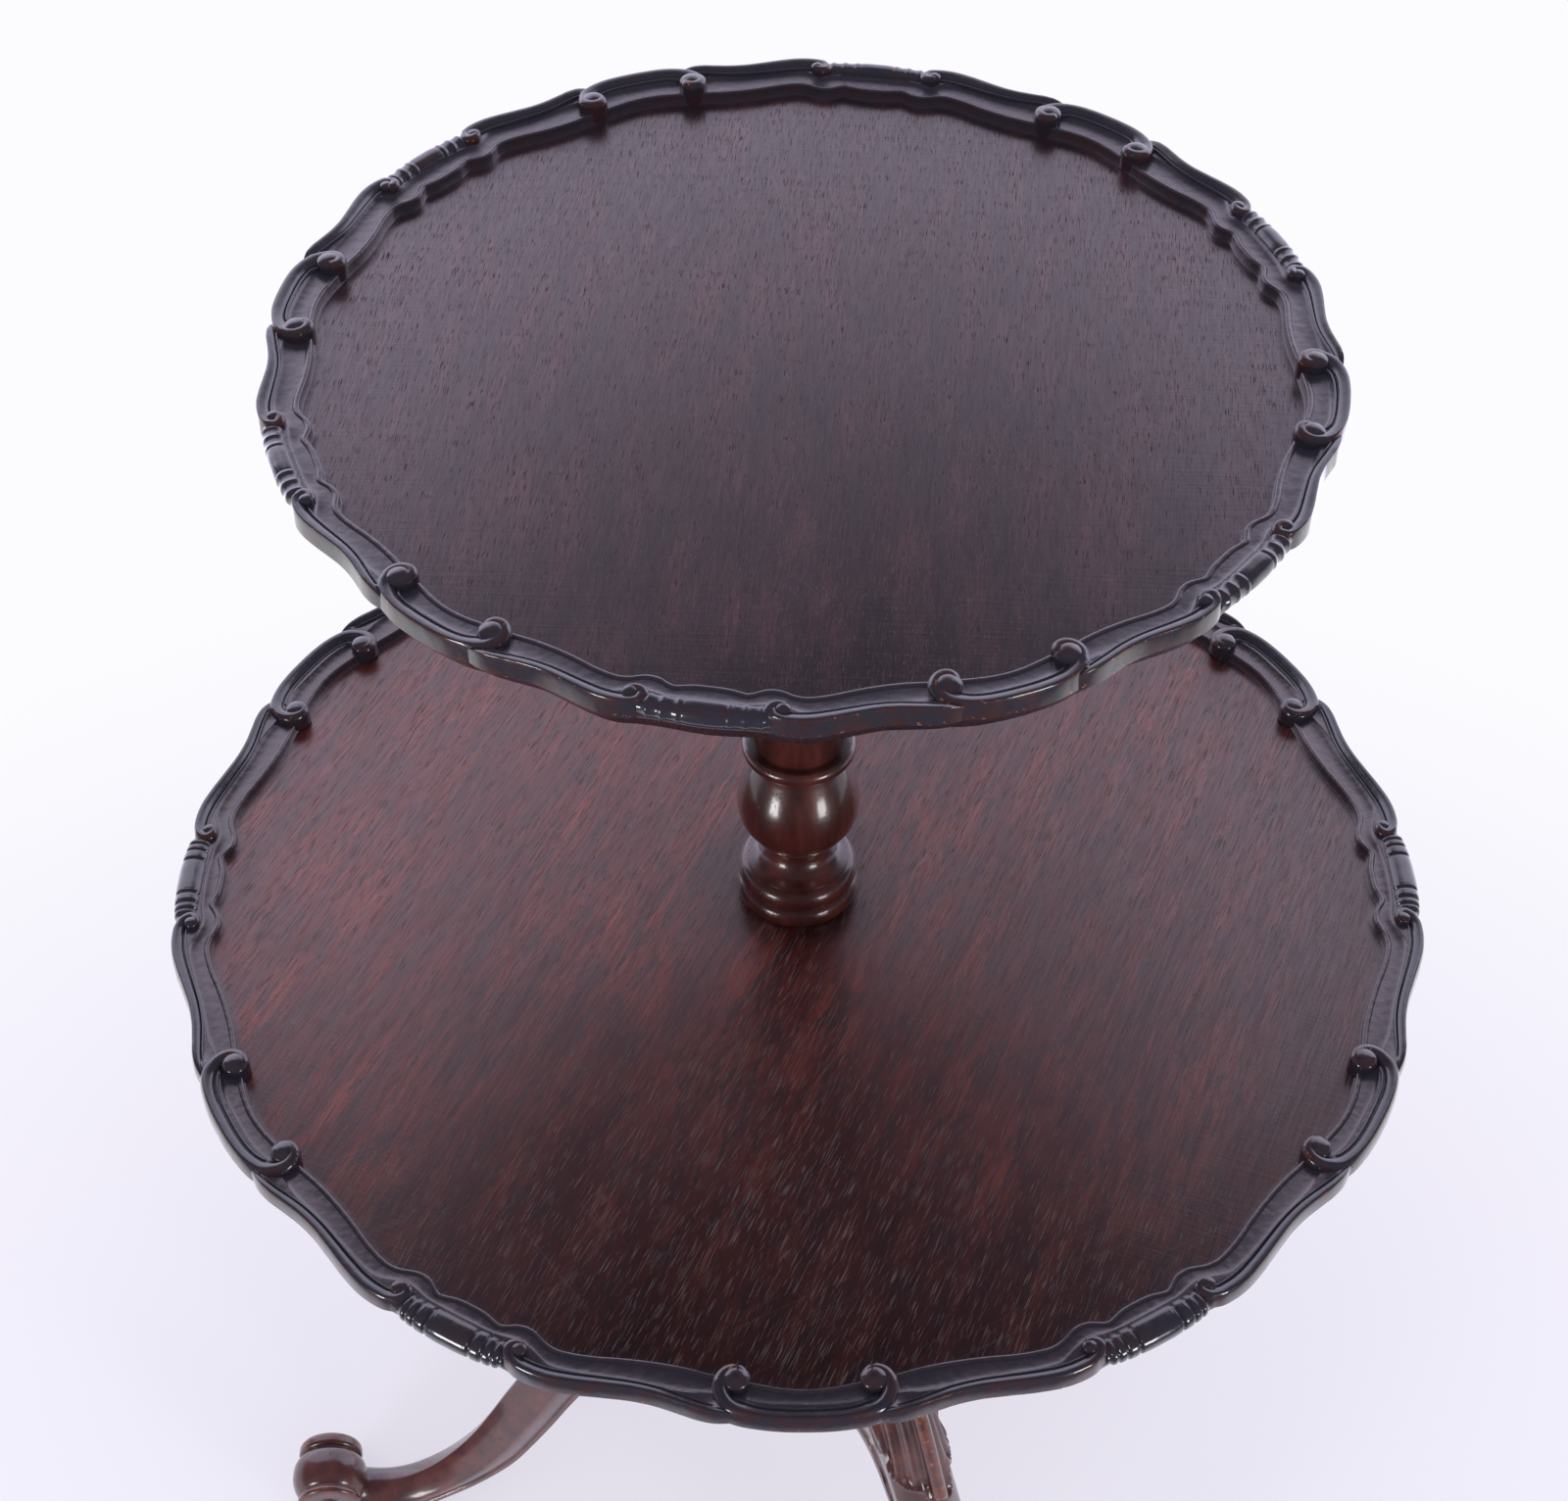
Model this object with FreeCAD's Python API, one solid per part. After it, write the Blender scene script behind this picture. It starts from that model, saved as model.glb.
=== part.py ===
"""Two-tier revolving dumb waiter: a tripod side table with two dished, piecrust-carved trays.

A turned stem stands on three cabriole legs with scroll toes. Each tray is screwed to a turned
bearer that spins on a pin of the stem. Millimetres, +Z up, origin on the floor below the stem.
"""
import FreeCAD, Part
import math
import os
from FreeCAD import Vector

# ---- heights of the whole ----
LOWER_RIM_TOP = 563.0        # floor to the crest of the lower tray's rim
TIER_SPACING = 312.0         # lower rim crest to upper rim crest
LEG_ROOT_Z = 182.0           # underside of the pillar and of the legs' roots

# ---- clearances ----
RUN_GAP = 0.3                # between faces that turn past each other
PIN_CLEARANCE = 0.05         # radial, a pin in its turning bore
GLUE_GAP = 0.1               # round a glued tenon or a driven screw
HOLE_CLEARANCE = 1.0         # radial, where the pin only passes the lower tray
FOOT_SINKING = 0.5           # depth of the round sinking in the lower tray below the stem's foot
FOOT_MARGIN = 1.0            # radial, from the stem's foot to the edge of that sinking

# ---- carved rim pattern, shared by both trays ----
RIM_UNITS = 6                # repeats of boss, scroll, C-scroll, scroll round the rim
UNIT = 360.0 / RIM_UNITS
WAIST_ANGLE = 17.0           # from a boss to the waist of its S-scroll
TIP_ANGLE = 22.6             # from a boss to the outer tip of its S-scroll
NOTCH_ANGLE = 22.2           # from a boss to the notch beside the C-scroll
BOSS_DROP = 1.5              # the boss stands this far inside the rim's reach
REEL_DROP = 3.5              # the reels stand this far inside the rim's reach
WAIST_DROP = 6.5             # depth of the S-scroll's waist
TIP_DROP = 3.5               # the S-scroll's tip inside the rim's reach
NOTCH_DROP = 8.5             # depth of the notch
BEAD_ROUND = 3.0             # rounding of the rim's outer bead
QUIRK_DEPTH = 3.2            # groove inside the bead, below the rim's crest
EDGE_DEPTH = 5.6             # inner edge of the hollow band, below the crest
REEL_CUT = 4.5               # depth to which the rim is cut away round the reels
KNOB_PROUD = 1.5             # scroll eyes above the crest
BOSS_PROUD = 2.0             # boss above the crest


class TraySizes:
    """Sizes of one tray that the two trays don't share."""

    def __init__(self, **sizes):
        self.__dict__.update(sizes)


LOWER_TRAY = TraySizes(
    reach=298.5,             # axis to the crests of the rim's outline
    thickness=17.0,          # rim crest to underside
    dish_depth=9.5,          # rim crest to the flat of the tray
    bead_width=8.0,
    band_width=21.5,         # outer edge to the inner edge of the hollow band
    bevel_run=6.0,           # underside bevel, inwards
    bevel_start=8.0,         # underside bevel, below the crest
    boss_half=9.0,           # half length of a barrel boss
    boss_radius=7.0,
    reel_one=(10.2, 15.0),   # from the boss's middle to a reel's two faces
    reel_two=(16.2, 19.6),
    reel_end=23.0,
    crest_angle=8.0,         # from a boss to the crest of its S-scroll
    eye_radius=6.0,          # C-scroll eye
    eye_inset=21.5,          # rim's reach to a C-scroll eye
    eye_angle=6.2,           # C-scroll's middle to its eye
    small_eye_radius=5.0,    # S-scroll eye
    small_eye_inset=11.5,
    small_eye_angle=5.7,     # boss's middle to an S-scroll's eye
    start_angle=-118.96,     # direction of the first boss
)
UPPER_TRAY = TraySizes(
    reach=215.7,
    thickness=16.0,
    dish_depth=9.0,
    bead_width=6.4,
    band_width=16.5,
    bevel_run=4.5,
    bevel_start=7.5,
    boss_half=8.2,
    boss_radius=6.0,
    reel_one=(9.2, 13.2),
    reel_two=(14.3, 17.2),
    reel_end=20.0,
    crest_angle=9.0,
    eye_radius=4.8,
    eye_inset=17.0,
    eye_angle=6.6,
    small_eye_radius=4.0,
    small_eye_inset=8.6,
    small_eye_angle=6.6,
    start_angle=-98.85,
)

# ---- bearers under the trays ----
LOWER_BEARER_RADIUS = 80.0
UPPER_BEARER_RADIUS = 62.0
BEARER_THICKNESS = 24.0
BEARER_EDGE = 9.0            # rounding of a bearer's lower edge
BEARER_SCREWS = 4
LOWER_SCREW_CIRCLE = 55.0    # radius of the ring of screws
UPPER_SCREW_CIRCLE = 42.0
SCREW_BITE = 5.0             # depth of a bearer screw in its tray

# ---- pins, washers and tenons of the stem ----
LOWER_PIN_RADIUS = 13.0
UPPER_PIN_RADIUS = 10.0
STEM_TENON_RADIUS = 10.0
STEM_TENON_LENGTH = 42.0
WASHER_THICKNESS = 1.5
LOWER_WASHER_RADIUS = 26.0
UPPER_WASHER_RADIUS = 22.0
KEEPER_RADIUS = 14.5         # washer that keeps the upper tier on its pin
KEEPER_POCKET_DEPTH = 8.0
KEEPER_POCKET_RADIUS = 17.0
KEEPER_SCREW_RADIUS = 2.5
KEEPER_SCREW_LENGTH = 30.0
KEEPER_HEAD_RADIUS = 6.0
KEEPER_HEAD_HEIGHT = 3.0

# ---- wood screws ----
SCREW_RADIUS = 2.0
SCREW_HEAD_RADIUS = 4.2
SCREW_HEAD_DEPTH = 2.6
SCREW_SLOT_WIDTH = 0.9
SCREW_SLOT_DEPTH = 0.8

# ---- legs ----
LEG_COUNT = 3
LEG_NAMES = ("leg_left", "leg_front", "leg_back")
LEG_START = -174.5           # direction of the first leg
LEG_WIDTH = 26.0
LEG_ROUND = 7.0              # rounding of the leg's upper edges
PILLAR_BLOCK_RADIUS = 35.0
TENON_DEPTH = 14.5
TENON_NECK = 14.0            # width of the dovetail at the pillar's face
TENON_TAIL = 20.0            # width of the dovetail at its end
TENON_HEIGHT = 80.0
TOE_RADIUS = 17.5            # discs of the scroll toe
TOE_WIDTH = 35.0
TOE_BOSS_RADIUS = 10.5
TOE_BOSS_PROUD = 1.5
TOE_CENTRE = (285.5, 39.0)   # distance from the axis, height
# The leg's upper line, from the pillar over the knee to the toe's flat: (distance, height).
LEG_UPPER_LINE = (
    (32.0, 270.0), (50.0, 274.0), (72.0, 273.0), (93.0, 265.0), (108.0, 251.0),
    (119.0, 232.0), (129.0, 209.0), (138.0, 188.0), (149.0, 162.0), (161.0, 136.0),
    (172.0, 112.0), (181.0, 92.0), (191.0, 73.0), (205.0, 54.0), (222.0, 38.0),
    (240.0, 28.5), (254.0, 28.5), (264.0, 37.0), (272.0, 52.0), (286.0, 61.0),
    (299.0, 55.5), (306.0, 41.0), (304.0, 22.0), (297.0, 7.0), (287.0, 0.0),
)
# The leg's lower line, from the toe's flat back to the pillar.
LEG_LOWER_LINE = (
    (269.0, 0.0), (254.0, 5.5), (238.0, 13.5), (223.0, 21.5), (207.0, 31.0), (191.0, 42.5),
    (173.0, 60.0), (158.0, 82.5), (143.0, 107.5), (130.0, 131.0), (117.0, 152.5),
    (106.0, 167.5), (94.0, 178.0), (82.0, LEG_ROOT_Z),
)

# ---- iron plate under the pillar ----
SPIDER_THICKNESS = 3.0
SPIDER_HUB_RADIUS = 33.0
SPIDER_ARM_WIDTH = 18.0
SPIDER_REACH = 78.0
SPIDER_LEG_SCREWS = (50.0, 70.0)     # distances from the axis along an arm
SPIDER_HUB_SCREW = 20.0              # distance from the axis, between the arms
SPIDER_SCREW_LENGTH = 22.0

# ---- turned profiles: (radius, height), each height above its own base ----
# Pillar below the lower tray; heights above its underside.
PILLAR_TURNING = (
    ("line", (PILLAR_BLOCK_RADIUS, 0.0), (PILLAR_BLOCK_RADIUS, 104.0)),
    ("arc", (PILLAR_BLOCK_RADIUS, 104.0), (40.0, 110.0), (PILLAR_BLOCK_RADIUS, 116.0)),
    ("line", (PILLAR_BLOCK_RADIUS, 116.0), (31.0, 118.0)),
    ("arc", (31.0, 118.0), (26.5, 124.0), (29.0, 131.0)),
    ("line", (29.0, 131.0), (32.0, 133.0)),
    ("curve", (32.0, 133.0), (42.0, 150.0), (44.0, 168.0), (37.0, 194.0), (27.0, 222.0),
     (21.5, 250.0), (20.0, 268.0)),
    ("line", (20.0, 268.0), (24.0, 270.0)),
    ("arc", (24.0, 270.0), (27.5, 274.5), (24.0, 279.0)),
    ("line", (24.0, 279.0), (21.0, 281.0)),
    ("curve", (21.0, 281.0), (20.0, 292.0), (23.0, 304.0), (33.0, 316.0), (48.0, 324.0)),
    ("line", (48.0, 324.0), (52.0, 327.0)),
)
PILLAR_FLANGE_RADIUS = 52.0
# Stem between the trays; heights above its base.
STEM_TURNING = (
    ("arc", (28.5, 0.0), (30.0, 4.5), (28.5, 9.0)),
    ("line", (28.5, 9.0), (27.0, 9.6)),
    ("arc", (27.0, 9.6), (29.0, 14.5), (26.0, 19.5)),
    ("line", (26.0, 19.5), (24.5, 21.5)),
    ("curve", (24.5, 21.5), (19.5, 24.0), (16.5, 30.0), (17.5, 37.0)),
    ("line", (17.5, 37.0), (19.0, 39.0)),
    ("curve", (19.0, 39.0), (25.5, 45.0), (28.6, 56.0), (25.0, 70.0), (18.5, 78.0),
     (18.5, 82.0)),
    ("arc", (18.5, 82.0), (25.0, 86.5), (21.5, 90.5)),
    ("curve", (21.5, 90.5), (20.5, 96.0), (20.5, 120.0), (17.5, 180.0), (15.0, 216.0)),
    ("line", (15.0, 216.0), (17.0, 218.0)),
    ("arc", (17.0, 218.0), (20.0, 221.5), (17.0, 225.0)),
    ("line", (17.0, 225.0), (15.0, 227.0)),
    ("curve", (15.0, 227.0), (15.5, 232.0), (22.5, 239.0), (24.0, 246.0), (20.0, 254.0),
     (16.0, 260.0)),
    ("curve", (16.0, 260.0), (17.0, 264.0), (25.0, 269.0), (36.0, 272.0)),
    ("line", (36.0, 272.0), (38.0, 274.0)),
)
STEM_FLANGE_RADIUS = 38.0

# ---- worked-out heights ----
LOWER_UNDERSIDE = LOWER_RIM_TOP - LOWER_TRAY.thickness
LOWER_FLAT = LOWER_RIM_TOP - LOWER_TRAY.dish_depth
LOWER_BEARER_Z = LOWER_UNDERSIDE - BEARER_THICKNESS
LOWER_FLANGE_Z = LOWER_BEARER_Z - RUN_GAP - WASHER_THICKNESS
STEM_BASE_Z = LOWER_FLAT + RUN_GAP
UPPER_RIM_TOP = LOWER_RIM_TOP + TIER_SPACING
UPPER_UNDERSIDE = UPPER_RIM_TOP - UPPER_TRAY.thickness
UPPER_BEARER_Z = UPPER_UNDERSIDE - BEARER_THICKNESS
UPPER_FLANGE_Z = UPPER_BEARER_Z - RUN_GAP - WASHER_THICKNESS
KEEPER_FLOOR_Z = UPPER_UNDERSIDE - KEEPER_POCKET_DEPTH
UPPER_PIN_TOP = KEEPER_FLOOR_Z + RUN_GAP
SPIDER_Z = LEG_ROOT_Z - SPIDER_THICKNESS

Z_AXIS = Vector(0, 0, 1)


# ---- small helpers ----
def polar(radius, degrees, z=0.0):
    """Point at a radius and direction in a level plane."""
    angle = math.radians(degrees)
    return Vector(radius * math.cos(angle), radius * math.sin(angle), z)


def edge(kind, points):
    """One edge through its points: a line, a three-point arc or a smooth curve."""
    if kind == "line":
        return Part.LineSegment(*points).toShape()
    if kind == "arc":
        return Part.Arc(*points).toShape()
    curve = Part.BSplineCurve()
    curve.interpolate(list(points))
    return curve.toShape()


def cylinder(radius, low, high):
    """Upright cylinder on the axis, between two heights."""
    return Part.makeCylinder(radius, high - low, Vector(0, 0, low))


def ring(outer, inner, low, high):
    """Flat ring on the axis."""
    return cylinder(outer, low, high).cut(cylinder(inner, low, high))


def turned(pieces, base_z, top_z, scale=1.0):
    """Solid of revolution from profile pieces; its top is cut level at top_z."""
    edges = []
    for kind, *points in pieces:
        placed = [Vector(r, 0, base_z + h * scale) for r, h in points]
        edges.append(edge(kind, placed))
    first = Vector(pieces[0][1][0], 0, base_z)
    last_r = pieces[-1][-1][0]
    last = Vector(last_r, 0, base_z + pieces[-1][-1][1] * scale)
    top_out = Vector(last_r, 0, top_z)
    top_in = Vector(0, 0, top_z)
    foot = Vector(0, 0, base_z)
    edges += [edge("line", (last, top_out)), edge("line", (top_out, top_in))]
    edges += [edge("line", (top_in, foot)), edge("line", (foot, first))]
    wire = Part.Wire(Part.__sortEdges__(edges))
    return Part.Face(wire).revolve(Vector(0, 0, 0), Z_AXIS, 360)


def turn_about_axis(shape, degrees):
    """Copy of a shape, turned about the object's axis."""
    copy = shape.copy()
    copy.rotate(Vector(0, 0, 0), Z_AXIS, degrees)
    return copy


# ---- screws ----
def wood_screw(length, slotted=True):
    """Countersunk wood screw pointing up, its flat head at z = 0."""
    head = Part.makeCone(SCREW_HEAD_RADIUS, SCREW_RADIUS, SCREW_HEAD_DEPTH)
    tip = SCREW_RADIUS * 2
    shank = Part.makeCylinder(SCREW_RADIUS, length - tip)
    point = Part.makeCone(SCREW_RADIUS, SCREW_RADIUS / 4, tip, Vector(0, 0, length - tip))
    screw = head.fuse([shank, point]).removeSplitter()
    if slotted:
        size = SCREW_HEAD_RADIUS * 2
        slot = Part.makeBox(size, SCREW_SLOT_WIDTH, SCREW_SLOT_DEPTH,
                            Vector(-size / 2, -SCREW_SLOT_WIDTH / 2, 0))
        screw = screw.cut(slot)
    return screw


def screw_hole(length):
    """Hole that takes a wood screw, with the glue gap all round."""
    head_top = SCREW_HEAD_RADIUS + GLUE_GAP
    shank = SCREW_RADIUS + GLUE_GAP
    head = Part.makeCone(head_top, shank, SCREW_HEAD_DEPTH)
    return head.fuse(Part.makeCylinder(shank, length + GLUE_GAP)).removeSplitter()


def screws_at(places, length, z):
    """Screws at level places, as a compound, and their holes as a list."""
    screws = []
    holes = []
    for place in places:
        at = Vector(place.x, place.y, z)
        for shape, group in ((wood_screw(length), screws), (screw_hole(length), holes)):
            moved = shape.copy()
            moved.translate(at)
            group.append(moved)
    return Part.makeCompound(screws), holes


# ---- trays ----
def rim_outline(tray, inset, z, notched=False):
    """Outline of the rim at a height, moved inwards by inset, with or without the notches."""
    reach = tray.reach - inset
    boss = math.degrees(tray.boss_half / tray.reach)
    reels = math.degrees(tray.reel_end / tray.reach)
    middle = (tray.crest_angle + WAIST_ANGLE) / 2
    scroll = [
        (reels, reach - REEL_DROP), (tray.crest_angle, reach), (middle, reach - WAIST_DROP / 2),
        (WAIST_ANGLE, reach - WAIST_DROP), (TIP_ANGLE, reach - TIP_DROP),
    ]
    c_end = (NOTCH_ANGLE, reach - NOTCH_DROP) if notched else scroll[-1]
    edges = []
    for unit in range(RIM_UNITS):
        start = tray.start_angle + unit * UNIT

        def at(points):
            return [polar(r, start + a, z) for a, r in points]

        def mirrored(points):
            return at([(UNIT - a, r) for a, r in reversed(points)])

        reel = [(boss, reach - REEL_DROP), ((boss + reels) / 2, reach - REEL_DROP), scroll[0]]
        boss_arc = [(-boss, reel[0][1]), (0, reach - BOSS_DROP), reel[0]]
        c_arc = [c_end, (UNIT / 2, reach), (UNIT - c_end[0], c_end[1])]
        edges.append(edge("arc", at(boss_arc)))
        edges.append(edge("arc", at(reel)))
        edges.append(edge("curve", at(scroll)))
        if notched:
            edges.append(edge("line", at([scroll[-1], c_end])))
        edges.append(edge("arc", at(c_arc)))
        if notched:
            edges.append(edge("line", mirrored([scroll[-1], c_end])))
        edges.append(edge("curve", mirrored(scroll)))
        edges.append(edge("arc", mirrored(reel)))
    return Part.Wire(Part.__sortEdges__(edges))


def rim_prism(tray, inset, low, high):
    """Upright prism on the rim's outline."""
    return Part.Face(rim_outline(tray, inset, low)).extrude(Vector(0, 0, high - low))


def revolved(points):
    """Solid of revolution from a closed chain of (radius, height) corners."""
    corners = [Vector(r, 0, z) for r, z in points]
    wire = Part.makePolygon(corners + corners[:1])
    return Part.Face(wire).revolve(Vector(0, 0, 0), Z_AXIS, 360)


def boss_and_reels(tray, top):
    """Barrel boss and its four reels for the unit along +X, lying across the radius."""
    centre_r = tray.reach - tray.boss_radius
    centre_z = top + BOSS_PROUD - tray.boss_radius
    end_r = tray.boss_radius - BOSS_PROUD / 2
    half = tray.boss_half

    def across(radius, y):
        return Vector(centre_r, y, centre_z + radius)

    barrel = Part.Wire([
        edge("line", (across(0, -half), across(end_r, -half))),
        edge("arc", (across(end_r, -half), across(tray.boss_radius, 0), across(end_r, half))),
        edge("line", (across(end_r, half), across(0, half))),
        edge("line", (across(0, half), across(0, -half))),
    ])
    axis_point = Vector(centre_r, 0, centre_z)
    solids = [Part.Face(barrel).revolve(axis_point, Vector(0, 1, 0), 360)]
    for near, far in (tray.reel_one, tray.reel_two):
        for side in (1, -1):
            start = Vector(centre_r, near * side, centre_z)
            solids.append(Part.makeCylinder(end_r, far - near, start, Vector(0, side, 0)))
    return solids


def reel_pockets(tray, top):
    """The two spaces cut from the rim for the reels of the unit along +X."""
    low = top - REEL_CUT
    inner = tray.reach - tray.bead_width * 2
    pockets = []
    for side in (1, -1):
        near = tray.boss_half * side
        width = (tray.reel_end - tray.boss_half)
        corner = Vector(inner, near if side > 0 else near - width, low)
        pockets.append(Part.makeBox(tray.bead_width * 3, width, REEL_CUT * 2, corner))
    return pockets


def eye(radius, low, top):
    """Scroll eye: an upright post with a round top."""
    shoulder = top - radius
    return cylinder(radius, low, shoulder).fuse(Part.makeSphere(radius, Vector(0, 0, shoulder)))


def scroll_eyes(tray, top, flat):
    """Eyes of the C-scroll and of the two S-scrolls in the unit along +X."""
    eyes = []
    big = (tray.eye_radius, tray.reach - tray.eye_inset, UNIT / 2 - tray.eye_angle, flat)
    small = (tray.small_eye_radius, tray.reach - tray.small_eye_inset, tray.small_eye_angle,
             top - EDGE_DEPTH)
    for radius, distance, angle, low in (big, small):
        for side in (1, -1):
            knob = eye(radius, low, top + KNOB_PROUD)
            knob.translate(polar(distance, angle * side))
            eyes.append(knob)
    return eyes


def tray_solid(tray, top, bore_radius):
    """One tray, carved from a single board."""
    underside = top - tray.thickness
    flat = top - tray.dish_depth
    above = top + tray.thickness
    levels = [
        (tray.bevel_run, underside), (0, top - tray.bevel_start), (0, top - BEAD_ROUND),
        (BEAD_ROUND / 3, top - BEAD_ROUND / 3), (BEAD_ROUND, top),
    ]
    wires = [rim_outline(tray, inset, z, notched=True) for inset, z in levels]
    slab = Part.makeLoft(wires, True, True)
    quirk_r = tray.reach - tray.bead_width
    edge_r = tray.reach - tray.band_width - WAIST_DROP
    bowl = revolved([
        (0, top - EDGE_DEPTH), (edge_r, top - EDGE_DEPTH), (quirk_r, top - QUIRK_DEPTH),
        (quirk_r, above), (0, above),
    ])
    hollow = rim_prism(tray, tray.bead_width, underside, above).common(bowl)
    dish = rim_prism(tray, tray.band_width, flat, above)
    solid = slab.cut([hollow, dish])
    pockets = []
    carving = []
    for unit in range(RIM_UNITS):
        angle = tray.start_angle + unit * UNIT
        pockets += [turn_about_axis(p, angle) for p in reel_pockets(tray, top)]
        parts = boss_and_reels(tray, top) + scroll_eyes(tray, top, flat)
        carving += [turn_about_axis(p, angle) for p in parts]
    solid = solid.cut(pockets).fuse(carving)
    if bore_radius:
        solid = solid.cut(cylinder(bore_radius, underside, above))
    return solid


def bearer_solid(radius, z, bore):
    """Turned disc under a tray, with a rounded lower edge and a turning bore."""
    disc = cylinder(radius, z, z + BEARER_THICKNESS)
    low = [e for e in disc.Edges if all(abs(v.Z - z) < GLUE_GAP for v in e.Vertexes)]
    disc = disc.makeFillet(BEARER_EDGE, low)
    return disc.cut(cylinder(bore, z, z + BEARER_THICKNESS))


def tier(tray, top, bearer_radius, bore, tray_bore, screw_circle):
    """Tray, bearer and the screws that join them."""
    bearer_z = top - tray.thickness - BEARER_THICKNESS
    step = 360.0 / BEARER_SCREWS
    places = [polar(screw_circle, step * (n + 0.5)) for n in range(BEARER_SCREWS)]
    screws, holes = screws_at(places, BEARER_THICKNESS + SCREW_BITE, bearer_z)
    board = tray_solid(tray, top, tray_bore).cut(holes)
    bearer = bearer_solid(bearer_radius, bearer_z, bore).cut(holes)
    return board, bearer, screws


# ---- legs ----
def dovetail(gap):
    """Dovetail along +X into the pillar, grown by a gap on every side."""
    tail_x = PILLAR_BLOCK_RADIUS - TENON_DEPTH - gap
    neck_x = PILLAR_BLOCK_RADIUS
    slope = (TENON_TAIL - TENON_NECK) / 2 / TENON_DEPTH
    root_x = neck_x + TENON_DEPTH / 2
    neck_half = TENON_NECK / 2 + gap
    tail_half = TENON_TAIL / 2 + gap
    root_half = max(neck_half - slope * (root_x - neck_x), neck_half / 2)
    corners = [(tail_x, -tail_half), (neck_x, -neck_half), (root_x, -root_half),
               (root_x, root_half), (neck_x, neck_half), (tail_x, tail_half)]
    points = [Vector(x, y, LEG_ROOT_Z) for x, y in corners]
    face = Part.Face(Part.makePolygon(points + points[:1]))
    return face.extrude(Vector(0, 0, TENON_HEIGHT + gap))


def sunk(points, depth):
    """Points of the leg's upper line, moved into the wood by depth; less so near the floor."""
    moved = []
    for n, (x, z) in enumerate(points):
        before = points[max(n - 1, 0)]
        after = points[min(n + 1, len(points) - 1)]
        run, rise = after[0] - before[0], after[1] - before[1]
        step = depth * min(1.0, z / TOE_CENTRE[1]) / math.hypot(run, rise)
        moved.append((x + rise * step, z - run * step))
    return moved


def leg_outline(y, depth):
    """Side outline of the leg at a distance y from its middle, its upper line sunk by depth."""
    upper = [Vector(x, y, z) for x, z in sunk(LEG_UPPER_LINE, depth)]
    lower = [Vector(x, y, z) for x, z in LEG_LOWER_LINE]
    root = Vector(upper[0].x, y, LEG_ROOT_Z)
    return Part.Wire([
        edge("curve", upper), edge("line", (upper[-1], lower[0])), edge("curve", lower),
        edge("line", (lower[-1], root)), edge("line", (root, upper[0])),
    ])


def leg_solid():
    """Cabriole leg along +X, with its scroll toe and its dovetail."""
    half = LEG_WIDTH / 2
    diagonal = LEG_ROUND * (1 - math.sqrt(0.5))
    rounding = [(half, LEG_ROUND), (half - diagonal, diagonal), (half - LEG_ROUND, 0)]
    levels = [(-y, depth) for y, depth in rounding] + list(reversed(rounding))
    leg = Part.makeLoft([leg_outline(y, depth) for y, depth in levels], True, True)
    leg = leg.cut(cylinder(PILLAR_BLOCK_RADIUS + GLUE_GAP, 0, UPPER_RIM_TOP))
    toe = [dovetail(0)]
    for radius, proud in ((TOE_RADIUS, 0), (TOE_BOSS_RADIUS, TOE_BOSS_PROUD)):
        width = TOE_WIDTH + 2 * proud
        start = Vector(TOE_CENTRE[0], -width / 2, TOE_CENTRE[1])
        toe.append(Part.makeCylinder(radius, width, start, Vector(0, 1, 0)))
    return leg.fuse(toe)


# ---- stem ----
def pillar_solid():
    """Pillar below the lower tray, with its pin and the tenon for the stem above."""
    body = turned(PILLAR_TURNING, LEG_ROOT_Z, LOWER_FLANGE_Z)
    pin = cylinder(LOWER_PIN_RADIUS, LOWER_FLANGE_Z, STEM_BASE_Z)
    tenon = cylinder(STEM_TENON_RADIUS, STEM_BASE_Z, STEM_BASE_Z + STEM_TENON_LENGTH)
    return body.fuse([pin, tenon])


def stem_solid():
    """Stem between the trays, with a socket below and the upper pin above."""
    body = turned(STEM_TURNING, STEM_BASE_Z, UPPER_FLANGE_Z)
    pin = cylinder(UPPER_PIN_RADIUS, UPPER_FLANGE_Z, UPPER_PIN_TOP)
    socket = cylinder(STEM_TENON_RADIUS + GLUE_GAP, STEM_BASE_Z,
                      STEM_BASE_Z + STEM_TENON_LENGTH + GLUE_GAP)
    pilot = cylinder(KEEPER_SCREW_RADIUS + GLUE_GAP, UPPER_PIN_TOP - KEEPER_SCREW_LENGTH - GLUE_GAP,
                     UPPER_PIN_TOP)
    return body.fuse(pin).cut([socket, pilot])


def keeper():
    """Washer and round-headed screw that hold the upper tier down on its pin."""
    washer_top = UPPER_PIN_TOP + WASHER_THICKNESS
    washer = ring(KEEPER_RADIUS, KEEPER_SCREW_RADIUS + GLUE_GAP, UPPER_PIN_TOP, washer_top)
    head_top = washer_top + KEEPER_HEAD_HEIGHT
    dome_r = (KEEPER_HEAD_RADIUS ** 2 + KEEPER_HEAD_HEIGHT ** 2) / (2 * KEEPER_HEAD_HEIGHT)
    dome = Part.makeSphere(dome_r, Vector(0, 0, head_top - dome_r))
    head = dome.common(cylinder(KEEPER_HEAD_RADIUS, washer_top, head_top))
    shank = cylinder(KEEPER_SCREW_RADIUS, UPPER_PIN_TOP - KEEPER_SCREW_LENGTH, washer_top)
    slot = Part.makeBox(KEEPER_HEAD_RADIUS * 2, SCREW_SLOT_WIDTH, SCREW_SLOT_DEPTH * 2,
                        Vector(-KEEPER_HEAD_RADIUS, -SCREW_SLOT_WIDTH / 2,
                               head_top - SCREW_SLOT_DEPTH))
    return washer, head.fuse(shank).cut(slot)


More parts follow.
